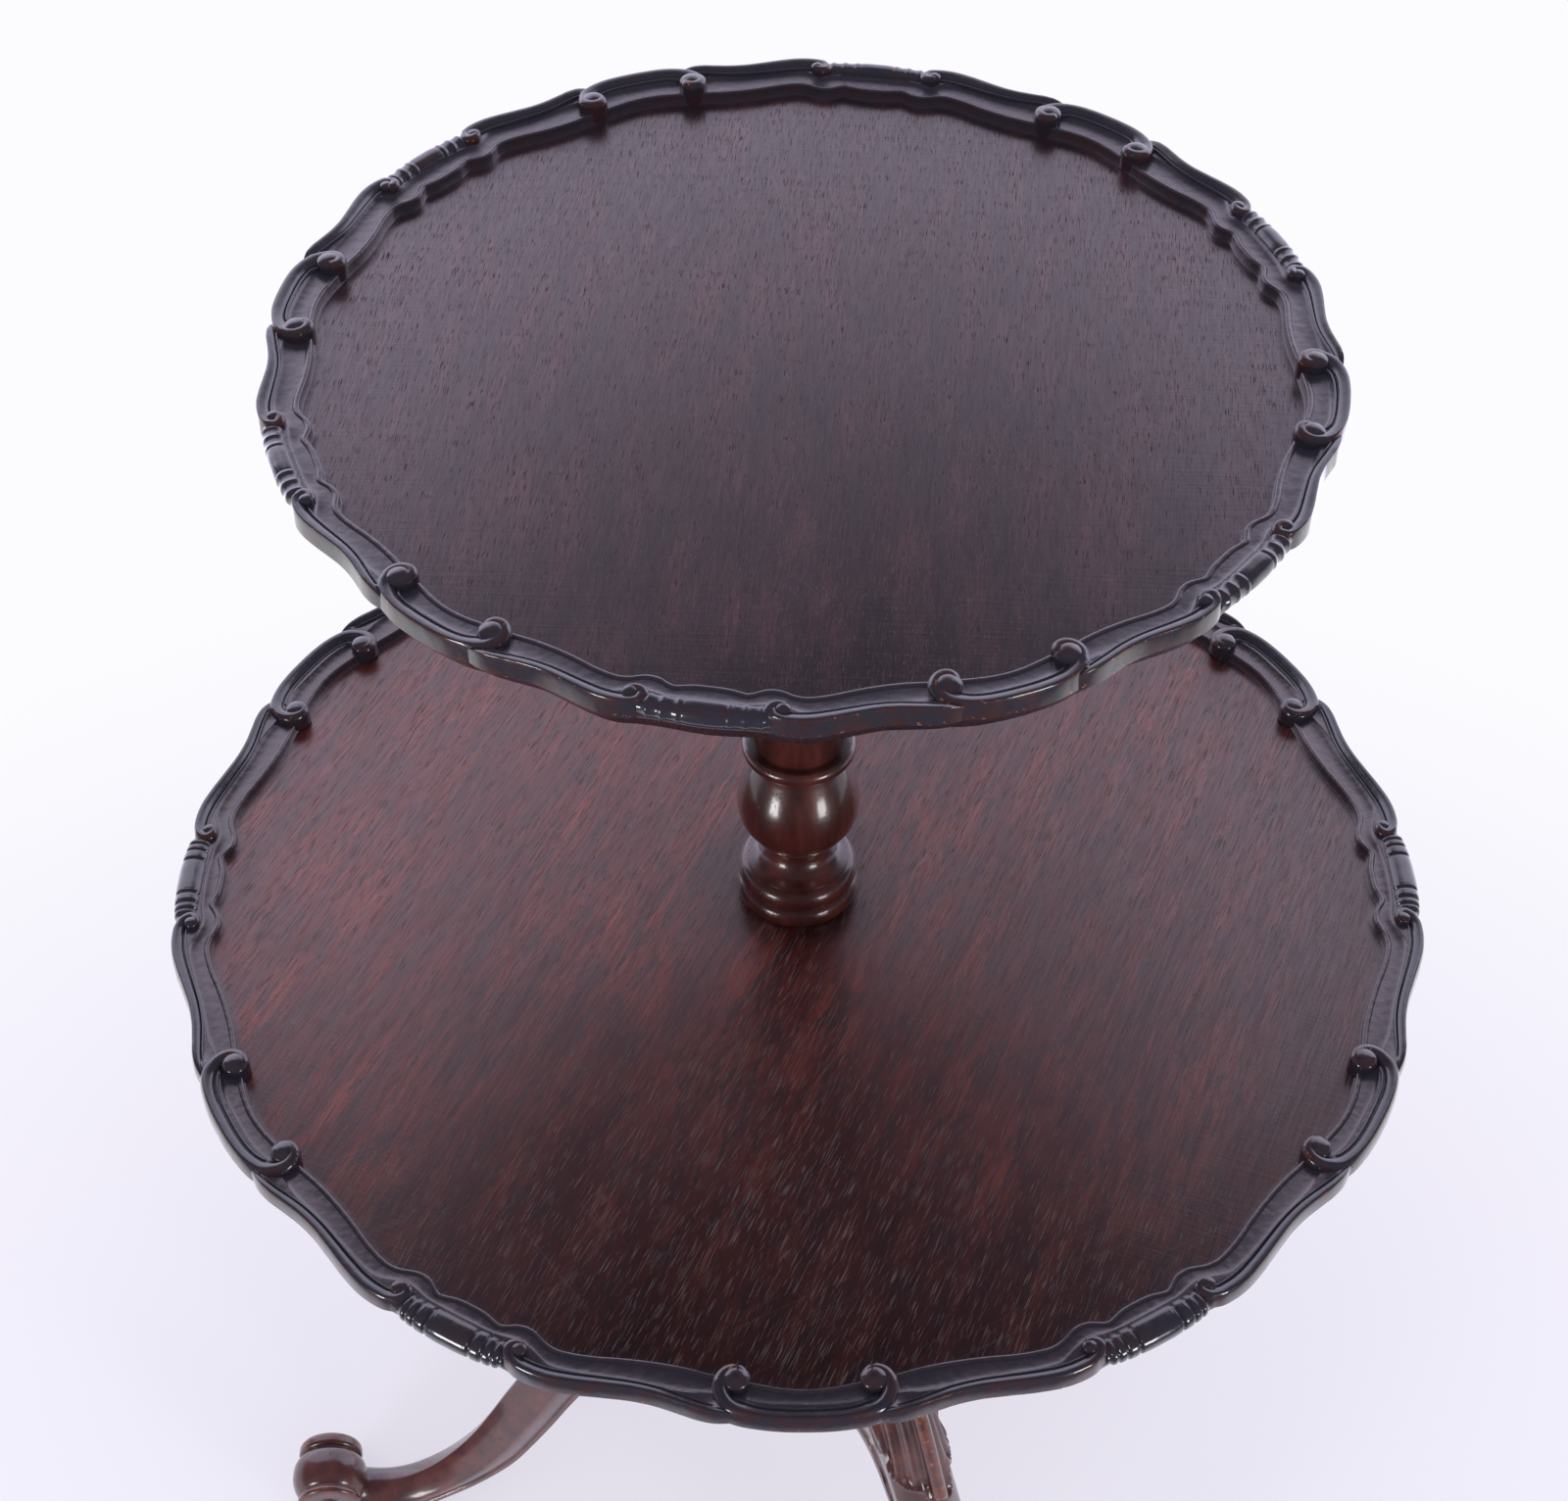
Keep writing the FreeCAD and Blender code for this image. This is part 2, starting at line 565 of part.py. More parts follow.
def spider():
    """Three-armed iron plate under the pillar, and its screws."""
    plate = cylinder(SPIDER_HUB_RADIUS, SPIDER_Z, LEG_ROOT_Z)
    arm = Part.makeBox(SPIDER_REACH, SPIDER_ARM_WIDTH, SPIDER_THICKNESS,
                       Vector(0, -SPIDER_ARM_WIDTH / 2, SPIDER_Z))
    arms = []
    places = []
    for n in range(LEG_COUNT):
        angle = LEG_START + n * 360.0 / LEG_COUNT
        arms.append(turn_about_axis(arm, angle))
        places += [polar(distance, angle) for distance in SPIDER_LEG_SCREWS]
        places.append(polar(SPIDER_HUB_SCREW, angle + 180.0 / LEG_COUNT))
    screws, holes = screws_at(places, SPIDER_SCREW_LENGTH, SPIDER_Z)
    return plate.fuse(arms).removeSplitter().cut(holes), screws, holes


def build():
    """Every piece of the table, by node name."""
    pieces = {}
    plate, plate_screws, plate_holes = spider()
    pillar = pillar_solid()
    leg = leg_solid()
    socket = dovetail(GLUE_GAP)
    for n, name in enumerate(LEG_NAMES):
        angle = LEG_START + n * 360.0 / LEG_COUNT
        pieces[name] = turn_about_axis(leg, angle).cut(plate_holes)
        pillar = pillar.cut(turn_about_axis(socket, angle))
    pieces["lower_pillar"] = pillar.cut(plate_holes)
    pieces["spider_plate"] = plate
    pieces["spider_screws"] = plate_screws
    pieces["lower_washer"] = ring(LOWER_WASHER_RADIUS, LOWER_PIN_RADIUS + GLUE_GAP,
                                  LOWER_FLANGE_Z, LOWER_FLANGE_Z + WASHER_THICKNESS)
    pieces["upper_pillar"] = stem_solid()
    pieces["upper_washer"] = ring(UPPER_WASHER_RADIUS, UPPER_PIN_RADIUS + GLUE_GAP,
                                  UPPER_FLANGE_Z, UPPER_FLANGE_Z + WASHER_THICKNESS)
    pieces["keeper_washer"], pieces["keeper_screw"] = keeper()

    board, bearer, screws = tier(
        LOWER_TRAY, LOWER_RIM_TOP, LOWER_BEARER_RADIUS, LOWER_PIN_RADIUS + PIN_CLEARANCE,
        LOWER_PIN_RADIUS + HOLE_CLEARANCE, LOWER_SCREW_CIRCLE)
    foot_radius = max(radius for radius, height in STEM_TURNING[0][1:]) + FOOT_MARGIN
    sinking = cylinder(foot_radius, LOWER_FLAT - FOOT_SINKING, UPPER_UNDERSIDE)
    pieces["lower_tray"] = board.cut(sinking)
    pieces["lower_bearer"] = bearer
    pieces["lower_bearer_screws"] = screws

    board, bearer, screws = tier(
        UPPER_TRAY, UPPER_RIM_TOP, UPPER_BEARER_RADIUS, UPPER_PIN_RADIUS + PIN_CLEARANCE,
        0, UPPER_SCREW_CIRCLE)
    pieces["upper_tray"] = board
    pieces["upper_bearer"] = bearer.cut(cylinder(KEEPER_POCKET_RADIUS, KEEPER_FLOOR_Z,
                                                 UPPER_UNDERSIDE))
    pieces["upper_bearer_screws"] = screws
    return pieces


os.makedirs("parts", exist_ok=True)
for node, shape in build().items():
    print(node, shape.isValid(), len(shape.Solids), len(shape.Faces), round(shape.Volume))
    shape.exportStep("parts/%s.step" % node)
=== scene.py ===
"""Looks of a two-tier revolving side table on a tripod base.

Two round dished trays with carved piecrust rims turn on a turned stem that stands on three
cabriole legs with scroll toes. Sizes are in millimetres until a mesh is made.
"""

import logging
import math
from dataclasses import dataclass, field
from enum import Enum
from typing import Any, Optional, Sequence

import bmesh
import bpy
import numpy as np
from mathutils import Matrix


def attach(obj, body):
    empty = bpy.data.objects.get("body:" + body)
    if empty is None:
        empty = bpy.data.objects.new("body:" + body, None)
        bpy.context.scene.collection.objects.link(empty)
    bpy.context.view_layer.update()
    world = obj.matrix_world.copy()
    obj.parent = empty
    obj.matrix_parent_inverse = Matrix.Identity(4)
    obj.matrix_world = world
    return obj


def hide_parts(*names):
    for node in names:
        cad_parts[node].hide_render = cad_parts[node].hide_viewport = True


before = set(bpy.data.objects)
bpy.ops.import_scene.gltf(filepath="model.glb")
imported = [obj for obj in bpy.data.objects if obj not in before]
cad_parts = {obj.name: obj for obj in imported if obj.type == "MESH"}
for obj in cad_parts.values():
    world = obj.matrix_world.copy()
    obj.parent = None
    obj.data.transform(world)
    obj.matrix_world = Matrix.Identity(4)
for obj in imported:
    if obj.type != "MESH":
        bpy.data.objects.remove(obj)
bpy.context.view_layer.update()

MM = 0.001
SENSOR_MM = 36.0
log = logging.getLogger("side_table")
Array = np.ndarray


# ---------------------------------------------------------------- numbers and curves
def linear(code: str) -> tuple[float, float, float, float]:
    """Turns an sRGB hex colour into linear light.

    Args:
        code: six hex digits after a #.

    Returns:
        Red, green, blue and an alpha of 1.
    """
    parts = [int(code[i:i + 2], 16) / 255 for i in (1, 3, 5)]
    lit = [p / 12.92 if p <= 0.04045 else ((p + 0.055) / 1.055) ** 2.4 for p in parts]
    return lit[0], lit[1], lit[2], 1.0


def through(knots: Array, values: Array, at: Array, level_ends: bool = False) -> Array:
    """Smooth curve through values: a cubic piece between each two knots.

    The slope at a knot is the length-weighted mean of the slopes on its two sides.

    Args:
        knots: rising positions, shape (k,).
        values: what the curve takes there, shape (k,) or (k, m).
        at: positions to read, any shape.
        level_ends: True gives the curve no slope at its two ends.

    Returns:
        Values at those positions, shape at.shape or at.shape + (m,).
    """
    x = np.asarray(knots, float)
    y = np.asarray(values, float).reshape(len(x), -1)
    t = np.asarray(at, float)
    step = np.diff(x)[:, None]
    slope = np.diff(y, axis=0) / step
    inner = (slope[:-1] * step[1:] + slope[1:] * step[:-1]) / (step[:-1] + step[1:])
    ends = (slope[:1] * 0, slope[-1:] * 0) if level_ends else (slope[:1], slope[-1:])
    tangent = np.concatenate([ends[0], inner, ends[1]])
    i = np.clip(np.searchsorted(x, t.ravel(), side="right") - 1, 0, len(x) - 2)
    h = step[i]
    u = ((t.ravel() - x[i])[:, None] / h).clip(0, 1)
    out = ((2 * u ** 3 - 3 * u ** 2 + 1) * y[i] + (u ** 3 - 2 * u ** 2 + u) * h * tangent[i]
           + (3 * u ** 2 - 2 * u ** 3) * y[i + 1] + (u ** 3 - u ** 2) * h * tangent[i + 1])
    width = np.asarray(values).ndim > 1
    return out.reshape(t.shape + ((y.shape[1],) if width else ()))


def even_path(points: Array, count: int) -> Array:
    """Smooth path through points, read at evenly spaced lengths.

    Args:
        points: shape (k, m); the first two columns are a place in the plane.
        count: how many points to return.

    Returns:
        Shape (count, m).
    """
    chord = np.hypot(*np.diff(points[:, :2], axis=0).T)
    knots = np.concatenate([[0], np.cumsum(chord)])
    fine = through(knots, points, np.linspace(0, knots[-1], count * 6))
    length = np.concatenate([[0], np.cumsum(np.hypot(*np.diff(fine[:, :2], axis=0).T))])
    want = np.linspace(0, length[-1], count)
    return np.stack([np.interp(want, length, column) for column in fine.T], axis=1)


def soft_step(low: float, high: float, x: Array) -> Array:
    """0 below low, 1 above high, and a smooth rise between them."""
    u = np.clip((x - low) / (high - low), 0, 1)
    return u * u * (3 - 2 * u)


def polar(radius: Array, degrees: Array) -> Array:
    """Places in the plane at radii and directions; the result has a last axis of 2."""
    turn = np.radians(degrees)
    return np.stack([radius * np.cos(turn), radius * np.sin(turn)], axis=-1)


# ---------------------------------------------------------------- meshes
def placed(name: str, data: Any) -> bpy.types.Object:
    """A new object of the scene with this mesh, lamp or camera."""
    made = bpy.data.objects.new(name, data)
    bpy.context.scene.collection.objects.link(made)
    return made


@dataclass
class Net:
    """A surface as a net of points in millimetres.

    points has shape (rows, columns, 3). Columns go round and close; rows either close too or
    end in caps. values holds named numbers for each point, for the finish to read.
    """

    points: Array
    ring: bool = False
    values: dict[str, Array] = field(default_factory=dict)

    def turned(self, degrees: float) -> "Net":
        """The same net turned about the table's axis."""
        c, s = math.cos(math.radians(degrees)), math.sin(math.radians(degrees))
        spin = np.array([[c, s, 0], [-s, c, 0], [0, 0, 1]])
        return Net(self.points @ spin, self.ring, self.values)

    def arrays(self, names: Sequence[str]) -> tuple[Array, list[list[int]], dict[str, Array]]:
        """Vertices, faces and values of the net.

        A quad joins each four neighbours, the last column joins the first, and a fan of
        triangles round the middle of the end row closes each end.

        Args:
            names: the values to give, 0 where the net has none.

        Returns:
            Vertices, faces as lists of indices, and values by name.
        """
        rows, cols = self.points.shape[:2]
        index = np.arange(rows * cols).reshape(rows, cols)
        below = index if self.ring else index[:-1]
        above = np.roll(index, -1, axis=0) if self.ring else index[1:]
        faces = np.stack([below, np.roll(below, -1, 1), np.roll(above, -1, 1), above], -1)
        polygons = faces.reshape(-1, 4).tolist()
        verts = self.points.reshape(-1, 3)
        flat = {n: np.broadcast_to(self.values.get(n, 0.0), (rows, cols)).ravel() for n in names}
        if self.ring:
            return verts, polygons, flat
        for row in (index[0], index[-1][::-1]):
            middle = len(verts)
            verts = np.vstack([verts, verts[row].mean(axis=0)])
            flat = {n: np.append(v, v[row].mean()) for n, v in flat.items()}
            fan = np.stack([np.roll(row, -1), row, np.full(cols, middle)], -1)
            polygons += fan.tolist()
        return verts, polygons, flat


def make_piece(name: str, nets: Sequence[Net], material: bpy.types.Material, body: str,
               nodes: Sequence[str], crease: float = 38.0) -> None:
    """Makes one mesh of several closed nets, hides the CAD nodes that it stands for and attaches
    it to its body.

    Args:
        name: the piece's name.
        nets: closed surfaces, in millimetres.
        material: its finish.
        body: the body it moves with.
        nodes: CAD nodes that it stands for.
        crease: faces that meet at more than this many degrees meet in a sharp edge.
    """
    names = sorted({n for net in nets for n in net.values})
    verts, faces, values = [], [], {n: [] for n in names}
    start = 0
    for net in nets:
        v, f, flat = net.arrays(names)
        verts.append(v)
        faces += [[i + start for i in face] for face in f]
        start += len(v)
        for n in names:
            values[n].append(flat[n])
    mesh = bpy.data.meshes.new(name)
    mesh.from_pydata(np.concatenate(verts) * MM, [], faces)
    work = bmesh.new()
    work.from_mesh(mesh)
    bmesh.ops.recalc_face_normals(work, faces=work.faces)
    work.to_mesh(mesh)
    work.free()
    for n in names:
        attribute = mesh.attributes.new(n, "FLOAT", "POINT")
        attribute.data.foreach_set("value", np.concatenate(values[n]).astype(np.float32))
    mesh.polygons.foreach_set("use_smooth", np.ones(len(mesh.polygons), bool))
    mesh.set_sharp_from_angle(angle=math.radians(crease))
    mesh.materials.append(material)
    piece = placed(name, mesh)
    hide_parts(*nodes)
    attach(piece, body)
    log.info("%s: %d faces, rides on %s", name, len(mesh.polygons), body)


def turned_net(profile: Sequence[tuple[float, float]], base: float, columns: int = 128) -> Net:
    """Surface turned about the table's axis.

    A point of the profile at (radius, height) becomes a level ring of that radius.

    Args:
        profile: dense (radius, height) points from one end to the other.
        base: height of the profile's zero above the floor.
        columns: points round each ring.

    Returns:
        The closed net.
    """
    r, z = np.array(profile, float).T
    turn = np.linspace(0, 2 * np.pi, columns, endpoint=False)
    points = np.stack([r[:, None] * np.cos(turn), r[:, None] * np.sin(turn),
                       np.broadcast_to((z + base)[:, None], (len(r), columns))], -1)
    return Net(points)


def moulded(pieces: Sequence[tuple], step: float = 0.9) -> list[tuple[float, float]]:
    """Turner's profile from its members, as dense (radius, height) points.

    Args:
        pieces: ("line", p, ..., q), ("arc", middle, q) or ("curve", p, ..., q), each p a
            (radius, height). The first is a line, and each later member starts where the one
            before it ended. An arc is the circle through three points, and a curve is smooth
            through all of its points.
        step: longest distance between points, in millimetres.

    Returns:
        The points, in order.
    """
    out: list[Array] = []
    end: tuple[float, float] = pieces[0][1]
    for kind, *points in pieces:
        p = np.array([end, *points], float)
        end = points[-1]
        if kind == "line":
            for first, last in zip(p[:-1], p[1:]):
                count = max(2, int(math.dist(first, last) / step) + 1)
                out.append(first + (last - first) * np.linspace(0, 1, count)[:, None])
            continue
        count = int(np.hypot(*np.diff(p, axis=0).T).sum() / step) + 1
        count = max(2, count) + 4
        if kind == "arc":
            (ax, ay), (bx, by), (cx, cy) = p
            d = 2 * (ax * (by - cy) + bx * (cy - ay) + cx * (ay - by))
            squares = (p ** 2).sum(axis=1)
            ux = (squares @ [by - cy, cy - ay, ay - by]) / d
            uy = (squares @ [cx - bx, ax - cx, bx - ax]) / d
            turn = np.unwrap(np.arctan2(p[:, 1] - uy, p[:, 0] - ux))
            angle = np.linspace(turn[0], turn[2], count)
            radius = math.hypot(ax - ux, ay - uy)
            out.append(np.stack([ux + radius * np.cos(angle), uy + radius * np.sin(angle)], -1))
        else:
            out.append(even_path(p, count))
    joined = np.concatenate(out)
    keep = np.append(True, np.hypot(*np.diff(joined, axis=0).T) > 1e-6)
    return [tuple(p) for p in joined[keep]]


# ---------------------------------------------------------------- finishes
# A Mix node's inputs by index: 0 is the share, 2 and 3 are two numbers, 6 and 7 two colours.
COLOURS = {"data_type": "RGBA"}
TINT = {"data_type": "RGBA", "blend_type": "MULTIPLY"}
NUMBERS = {"data_type": "FLOAT"}
SPREAD = (0.35, 0.65)        # most of a noise's values lie between these
WIDE_SPREAD = (0.3, 0.7)     # and nearly all between these


def add(tree: bpy.types.NodeTree, kind: str, inputs: Any = (), **settings: Any) -> Any:
    """Adds one node with its settings, values and links.

    Args:
        tree: where it goes.
        kind: the node's type, without the word ShaderNode.
        inputs: values for its inputs, either in order or by name or index. A socket is linked,
            and a node is linked by its first live output.
        settings: properties of the node; stops are a colour ramp's places and hex colours.

    Returns:
        The node.
    """
    node = tree.nodes.new("ShaderNode" + kind)
    for i, (place, code) in enumerate(settings.pop("stops", ())):
        elements = node.color_ramp.elements
        stop = elements[i] if i < len(elements) else elements.new(place)
        stop.position, stop.color = place, linear(code)
    for key, value in settings.items():
        setattr(node, key, value)
    for key, value in (inputs.items() if isinstance(inputs, dict) else enumerate(inputs)):
        if isinstance(value, bpy.types.Node):
            value = next(out for out in value.outputs if out.enabled)
        if isinstance(value, bpy.types.NodeSocket):
            tree.links.new(value, node.inputs[key])
        else:
            node.inputs[key].default_value = value
    return node


def blank_material(name: str) -> tuple[bpy.types.Material, bpy.types.NodeTree]:
    """A new material with an empty node tree."""
    material = bpy.data.materials.new(name)
    material.use_nodes = True
    material.node_tree.nodes.clear()
    return material, material.node_tree


@dataclass(frozen=True)
class Grain:
    """Which way a board's fibres run: turns in degrees of a frame whose Y is the fibre."""

    turn_x: float = 0.0
    turn_z: float = 0.0

    def stretched(self, tree: bpy.types.NodeTree, across: float, along: float,
                  detail: float = 2.0, rough: float = 0.55, seed: float = 0.0) -> Any:
        """Noise drawn out along the fibre.

        Args:
            tree: the material's tree.
            across: size of a spot across the fibre, in millimetres.
            along: its size along the fibre, in millimetres.
            detail: finer layers in the noise.
            rough: strength of those layers.
            seed: moves the pattern, in metres.

        Returns:
            The noise node, whose value is about 0.3 to 0.7.
        """
        place = add(tree, "TexCoord").outputs["Object"]
        spin = (math.radians(self.turn_x), 0.0, math.radians(self.turn_z))
        lying = add(tree, "Mapping", {"Vector": place, "Rotation": spin, "Location": [seed] * 3})
        scale = (1 / (across * MM), 1 / (along * MM), 1 / (across * MM))
        drawn = add(tree, "Mapping", {"Vector": lying, "Scale": scale})
        return add(tree, "TexNoise", {"Vector": drawn, "Scale": 1.0, "Detail": detail,
                                      "Roughness": rough})


class Wear(Enum):
    """How a piece's polish has aged."""

    FIELD = "flat top, rubbed and scratched"
    CARVED = "carving, dark in the hollows and rubbed red on the high parts"
    SHAPED = "turned or shaped, evenly polished and rubbed on its edges"


RINGS_PER_METRE = (60.0, 60.0, 1500.0)      # a turner's rings are about 0.7 mm high
PLANED_ACROSS = 87.0         # degrees from the fibre to the ripples that a plane left
SCRATCHES = ((62.0, 0.19), (-38.0, 0.61))   # direction in degrees, and seed, of each set


@dataclass(frozen=True)
class Blotch:
    """Ragged darker patches that a board takes from old polish and spills."""

    colour: str
    across_mm: float             # size of a patch across the fibre and along it
    along_mm: float
    strength: float
    low: float                   # noise value where a patch begins
    high: float                  # noise value where it is full


@dataclass(frozen=True)
class Mahogany:
    """French polished mahogany, planed or turned and darkened with age.

    Soft streaks of lighter and darker wood and short open pores lie along the fibre. A thin
    shellac film over them gives a soft mirror; a pore breaks the film and stays dull, so it
    shows dark in a pale reflection and pale in a dark one.
    """

    name: str
    dark: str
    middle: str
    light: str
    pore: str
    grain: Grain
    wear: Wear
    streak_mm: tuple[float, float] = (16.0, 150.0)   # width and length of a colour streak
    fibre_mm: tuple[float, float] = (1.1, 22.0)      # of the finest streaks
    blotch: Optional[Blotch] = None
    pore_mm: tuple[float, float] = (0.75, 5.0)       # 0.2 mm wide in truth, drawn to show
    pore_from: float = 0.60      # noise value above which there is a pore
    pore_depth: float = 0.7
    fibre: float = 0.35          # strength of the finest dark streaks
    roughness: tuple[float, float] = (0.26, 0.42)
    polish: float = 0.35
    polish_roughness: float = 0.16
    shellac_ior: float = 1.5
    wood_gloss: float = 0.5      # of the wood below the shellac, 0.5 for its own index
    fibre_sheen: str = "#ffffff"     # colour of the gloss that comes from below the shellac
    # Partly painted sheen: the lavender grey lifts the black polish to the glow of the pale room
    # mirrored in it.
    rim: str = "#262530"         # the near-black polish of a carved rim
    rubbed: str = "#3a1915"      # where hands have rubbed the polish through
    chip: str = "#8a5a3c"        # bare wood
    scratch: str = "#857a7e"
    bump: float = 0.00012
    lathe: float = 0.0           # depth of fine rings left by the turner, as a share of bump
    field_radius: float = 0.0    # of the flat top, in metres
    # Painted shade darkens the top round this foot.
    foot_radius: float = 0.0     # of a turned foot that stands on it, in metres
    # Painted light: the direction in degrees towards which the top is painted lighter and redder,
    # and how much of its red is kept there and opposite.
    painted_side_light: tuple[float, float, float] = (0.0, 1.0, 1.0)
    # Painted shade: a dark patch's place and radius in metres, and how much light its middle
    # gives back.
    painted_shade_patch: tuple[float, float, float, float] = (0.0, 0.0, 0.1, 1.0)

    def build(self) -> bpy.types.Material:
        """Makes the material.

        Returns:
            The new material.
        """
        material, tree = blank_material(self.name)
        grain = self.grain
        streak = grain.stretched(tree, *self.streak_mm, 4.0, 0.62)
        cloud = grain.stretched(tree, 80.0, 130.0, 2.0, 0.5, seed=0.37)
        fibre = grain.stretched(tree, *self.fibre_mm, 3.0, 0.65, seed=0.11)
        wood = add(tree, "ValToRGB", [add(tree, "MapRange", [streak, 0.34, 0.66])],
                   stops=[(0.0, self.dark), (0.5, self.middle), (1.0, self.light)])
        shade = add(tree, "MapRange", [cloud, *SPREAD, 0.82, 1.12])
        wood = add(tree, "Mix", {0: 1.0, 6: wood, 7: shade}, **TINT)
        if self.blotch:
            wood = self.blotched(tree, wood, self.blotch)
        much = add(tree, "MapRange", [fibre, 0.42, 0.64, 0.0, self.fibre])
        wood = add(tree, "Mix", {0: much, 6: wood, 7: linear(self.dark)}, **COLOURS)
        crowd = add(tree, "MapRange", [streak, *SPREAD, -0.035, 0.025])
        pore = grain.stretched(tree, *self.pore_mm, 1.5, 0.5, seed=0.71)
        pore = add(tree, "Math", [pore, crowd], operation="ADD")
        pore = add(tree, "MapRange", [pore, self.pore_from, self.pore_from + 0.07])
        height = add(tree, "Math", [fibre, 0.5], operation="MULTIPLY")
        height = add(tree, "Math", [height, pore], operation="SUBTRACT")
        if self.lathe:
            place = add(tree, "TexCoord").outputs["Object"]
            level = add(tree, "Mapping", {"Vector": place, "Scale": RINGS_PER_METRE})
            rings = add(tree, "TexNoise", {"Vector": level, "Scale": 1.0, "Detail": 2.0})
            rings = add(tree, "Math", [rings, self.lathe], operation="MULTIPLY")
            height = add(tree, "Math", [height, rings], operation="ADD")
        rough = add(tree, "MapRange", [cloud, *SPREAD, *self.roughness])
        film = add(tree, "MapRange", [fibre, 0.36, 0.64, 1.0, 1.0 - self.fibre * 0.7])
        whole = add(tree, "MapRange", [pore, 0.0, 1.0, 1.0, 0.15])
        film = add(tree, "Math", [film, whole], operation="MULTIPLY")
        if self.wear is Wear.FIELD:
            wood, height = self.field(tree, wood, height)
        deep = add(tree, "Math", [pore, self.pore_depth], operation="MULTIPLY")
        wood = add(tree, "Mix", {0: deep, 6: wood, 7: linear(self.pore)}, **COLOURS)
        dull = add(tree, "Math", [pore, 0.8], operation="MULTIPLY")
        rough = add(tree, "Math", [rough, dull], operation="MAXIMUM")
        if self.wear is Wear.SHAPED:
            patch = grain.stretched(tree, 7.0, 16.0, 3.0, 0.6, seed=0.53)
            wood = self.handled(tree, wood, patch, (2.2, 3.4), (0.42, 0.62, 0.0, 0.75),
                                (0.66, 0.70, 0.0, 0.85))
        else:
            wood, height, rough, film = self.carve(tree, wood, height, rough, film)
        relief = add(tree, "Bump", {"Height": height, "Distance": self.bump, "Strength": 1.0})
        coat = add(tree, "Math", [film, self.polish], operation="MULTIPLY")
        shader = add(tree, "BsdfPrincipled",
                     {"Base Color": wood, "Roughness": rough, "IOR": 1.5,
                      "Specular IOR Level": self.wood_gloss,
                      "Specular Tint": linear(self.fibre_sheen), "Coat Weight": coat,
                      "Coat Roughness": self.polish_roughness, "Coat IOR": self.shellac_ior,
                      "Normal": relief})
        add(tree, "OutputMaterial", [shader])
        return material

    def blotched(self, tree: bpy.types.NodeTree, wood: Any, blotch: Blotch) -> Any:
        """Lays ragged darker patches over the wood and returns its colour."""
        patch = self.grain.stretched(tree, blotch.across_mm, blotch.along_mm, 6.0, 0.72,
                                     seed=0.23)
        much = add(tree, "MapRange", [patch, blotch.low, blotch.high, 0.0, blotch.strength])
        return add(tree, "Mix", {0: much, 6: wood, 7: linear(blotch.colour)}, **COLOURS)

    def field(self, tree: bpy.types.NodeTree, wood: Any, height: Any) -> tuple[Any, Any]:
        """Darkens a flat top towards the rim, paints shade round the foot that stands on it, and
        adds ripples and fine scratches.

        Painted light makes one side lighter and redder than the other, and painted shade darkens
        one place.

        Args:
            tree: the material's tree.
            wood: colour so far.
            height: relief so far.

        Returns:
            Colour and relief.
        """
        place = add(tree, "TexCoord").outputs["Object"]
        flat = add(tree, "VectorMath", [place, (1.0, 1.0, 0.0)], operation="MULTIPLY")
        radius = add(tree, "VectorMath", [flat], operation="LENGTH")
        ragged = self.grain.stretched(tree, 26.0, 40.0, 4.0, 0.6, seed=0.83)
        wander = add(tree, "MapRange", [ragged, *WIDE_SPREAD, -0.022, 0.022])
        wander = add(tree, "Math", [radius, wander], operation="ADD")
        # Painted light: the top is painted lighter and redder on the side where more light falls,
        # and darker opposite.
        turn, red, other = self.painted_side_light
        lit_way = (math.cos(math.radians(turn)), math.sin(math.radians(turn)), 0.0)
        side = add(tree, "VectorMath", [place, lit_way], operation="DOT_PRODUCT")
        lit = add(tree, "MapRange", [side, -self.field_radius * 0.7, self.field_radius * 0.5,
                                     other, red])
        edge = add(tree, "MapRange", [wander, self.field_radius * 0.80,
                                      self.field_radius * 0.97, 1.0, 0.62])
        # Painted shade round the foot that stands on the top.
        foot_shade = add(tree, "MapRange", [radius, self.foot_radius, self.foot_radius * 1.9 + 0.001,
                                      0.35 if self.foot_radius else 1.0, 1.0])
        # Painted shade: a ragged darker patch at one place of the top.
        x, y, size, left = self.painted_shade_patch
        away = add(tree, "VectorMath", [flat, (x, y, 0.0)], operation="DISTANCE")
        frayed = add(tree, "MapRange", [ragged, *WIDE_SPREAD, -0.03, 0.03])
        away = add(tree, "Math", [away, frayed], operation="ADD")
        painted_shade_patch = add(tree, "MapRange", [away, size * 0.4, size, left, 1.0],
                    interpolation_type="SMOOTHSTEP")
        green = add(tree, "Math", [lit, 0.72], operation="POWER")
        blue = add(tree, "Math", [lit, 0.5], operation="POWER")
        side_light_tint = add(tree, "CombineColor", [lit, green, blue])
        for shade in (edge, foot_shade, painted_shade_patch, side_light_tint):
            wood = add(tree, "Mix", {0: 1.0, 6: wood, 7: shade}, **TINT)
        across = Grain(turn_z=self.grain.turn_z + PLANED_ACROSS)
        ripple = across.stretched(tree, 1.4, 26.0, 1.0, 0.5, seed=0.47)
        where = add(tree, "MapRange", [wander, self.field_radius * 0.62,
                                       self.field_radius * 0.9, 0.0, 0.8])
        ripple = add(tree, "Math", [ripple, where], operation="MULTIPLY")
        height = add(tree, "Math", [height, ripple], operation="ADD")
        for turn, seed in SCRATCHES:
            fine = Grain(turn_z=turn).stretched(tree, 0.8, 90.0, 0.0, 0.5, seed)
            here = Grain().stretched(tree, 45.0, 45.0, 1.0, 0.5, seed + 0.3)
            line = add(tree, "MapRange", [fine, 0.70, 0.74])
            much = add(tree, "MapRange", [here, 0.53, 0.65, 0.0, 0.05])
            line = add(tree, "Math", [line, much], operation="MULTIPLY")
            wood = add(tree, "Mix", {0: line, 6: wood, 7: linear(self.scratch)}, **COLOURS)
        return wood, height

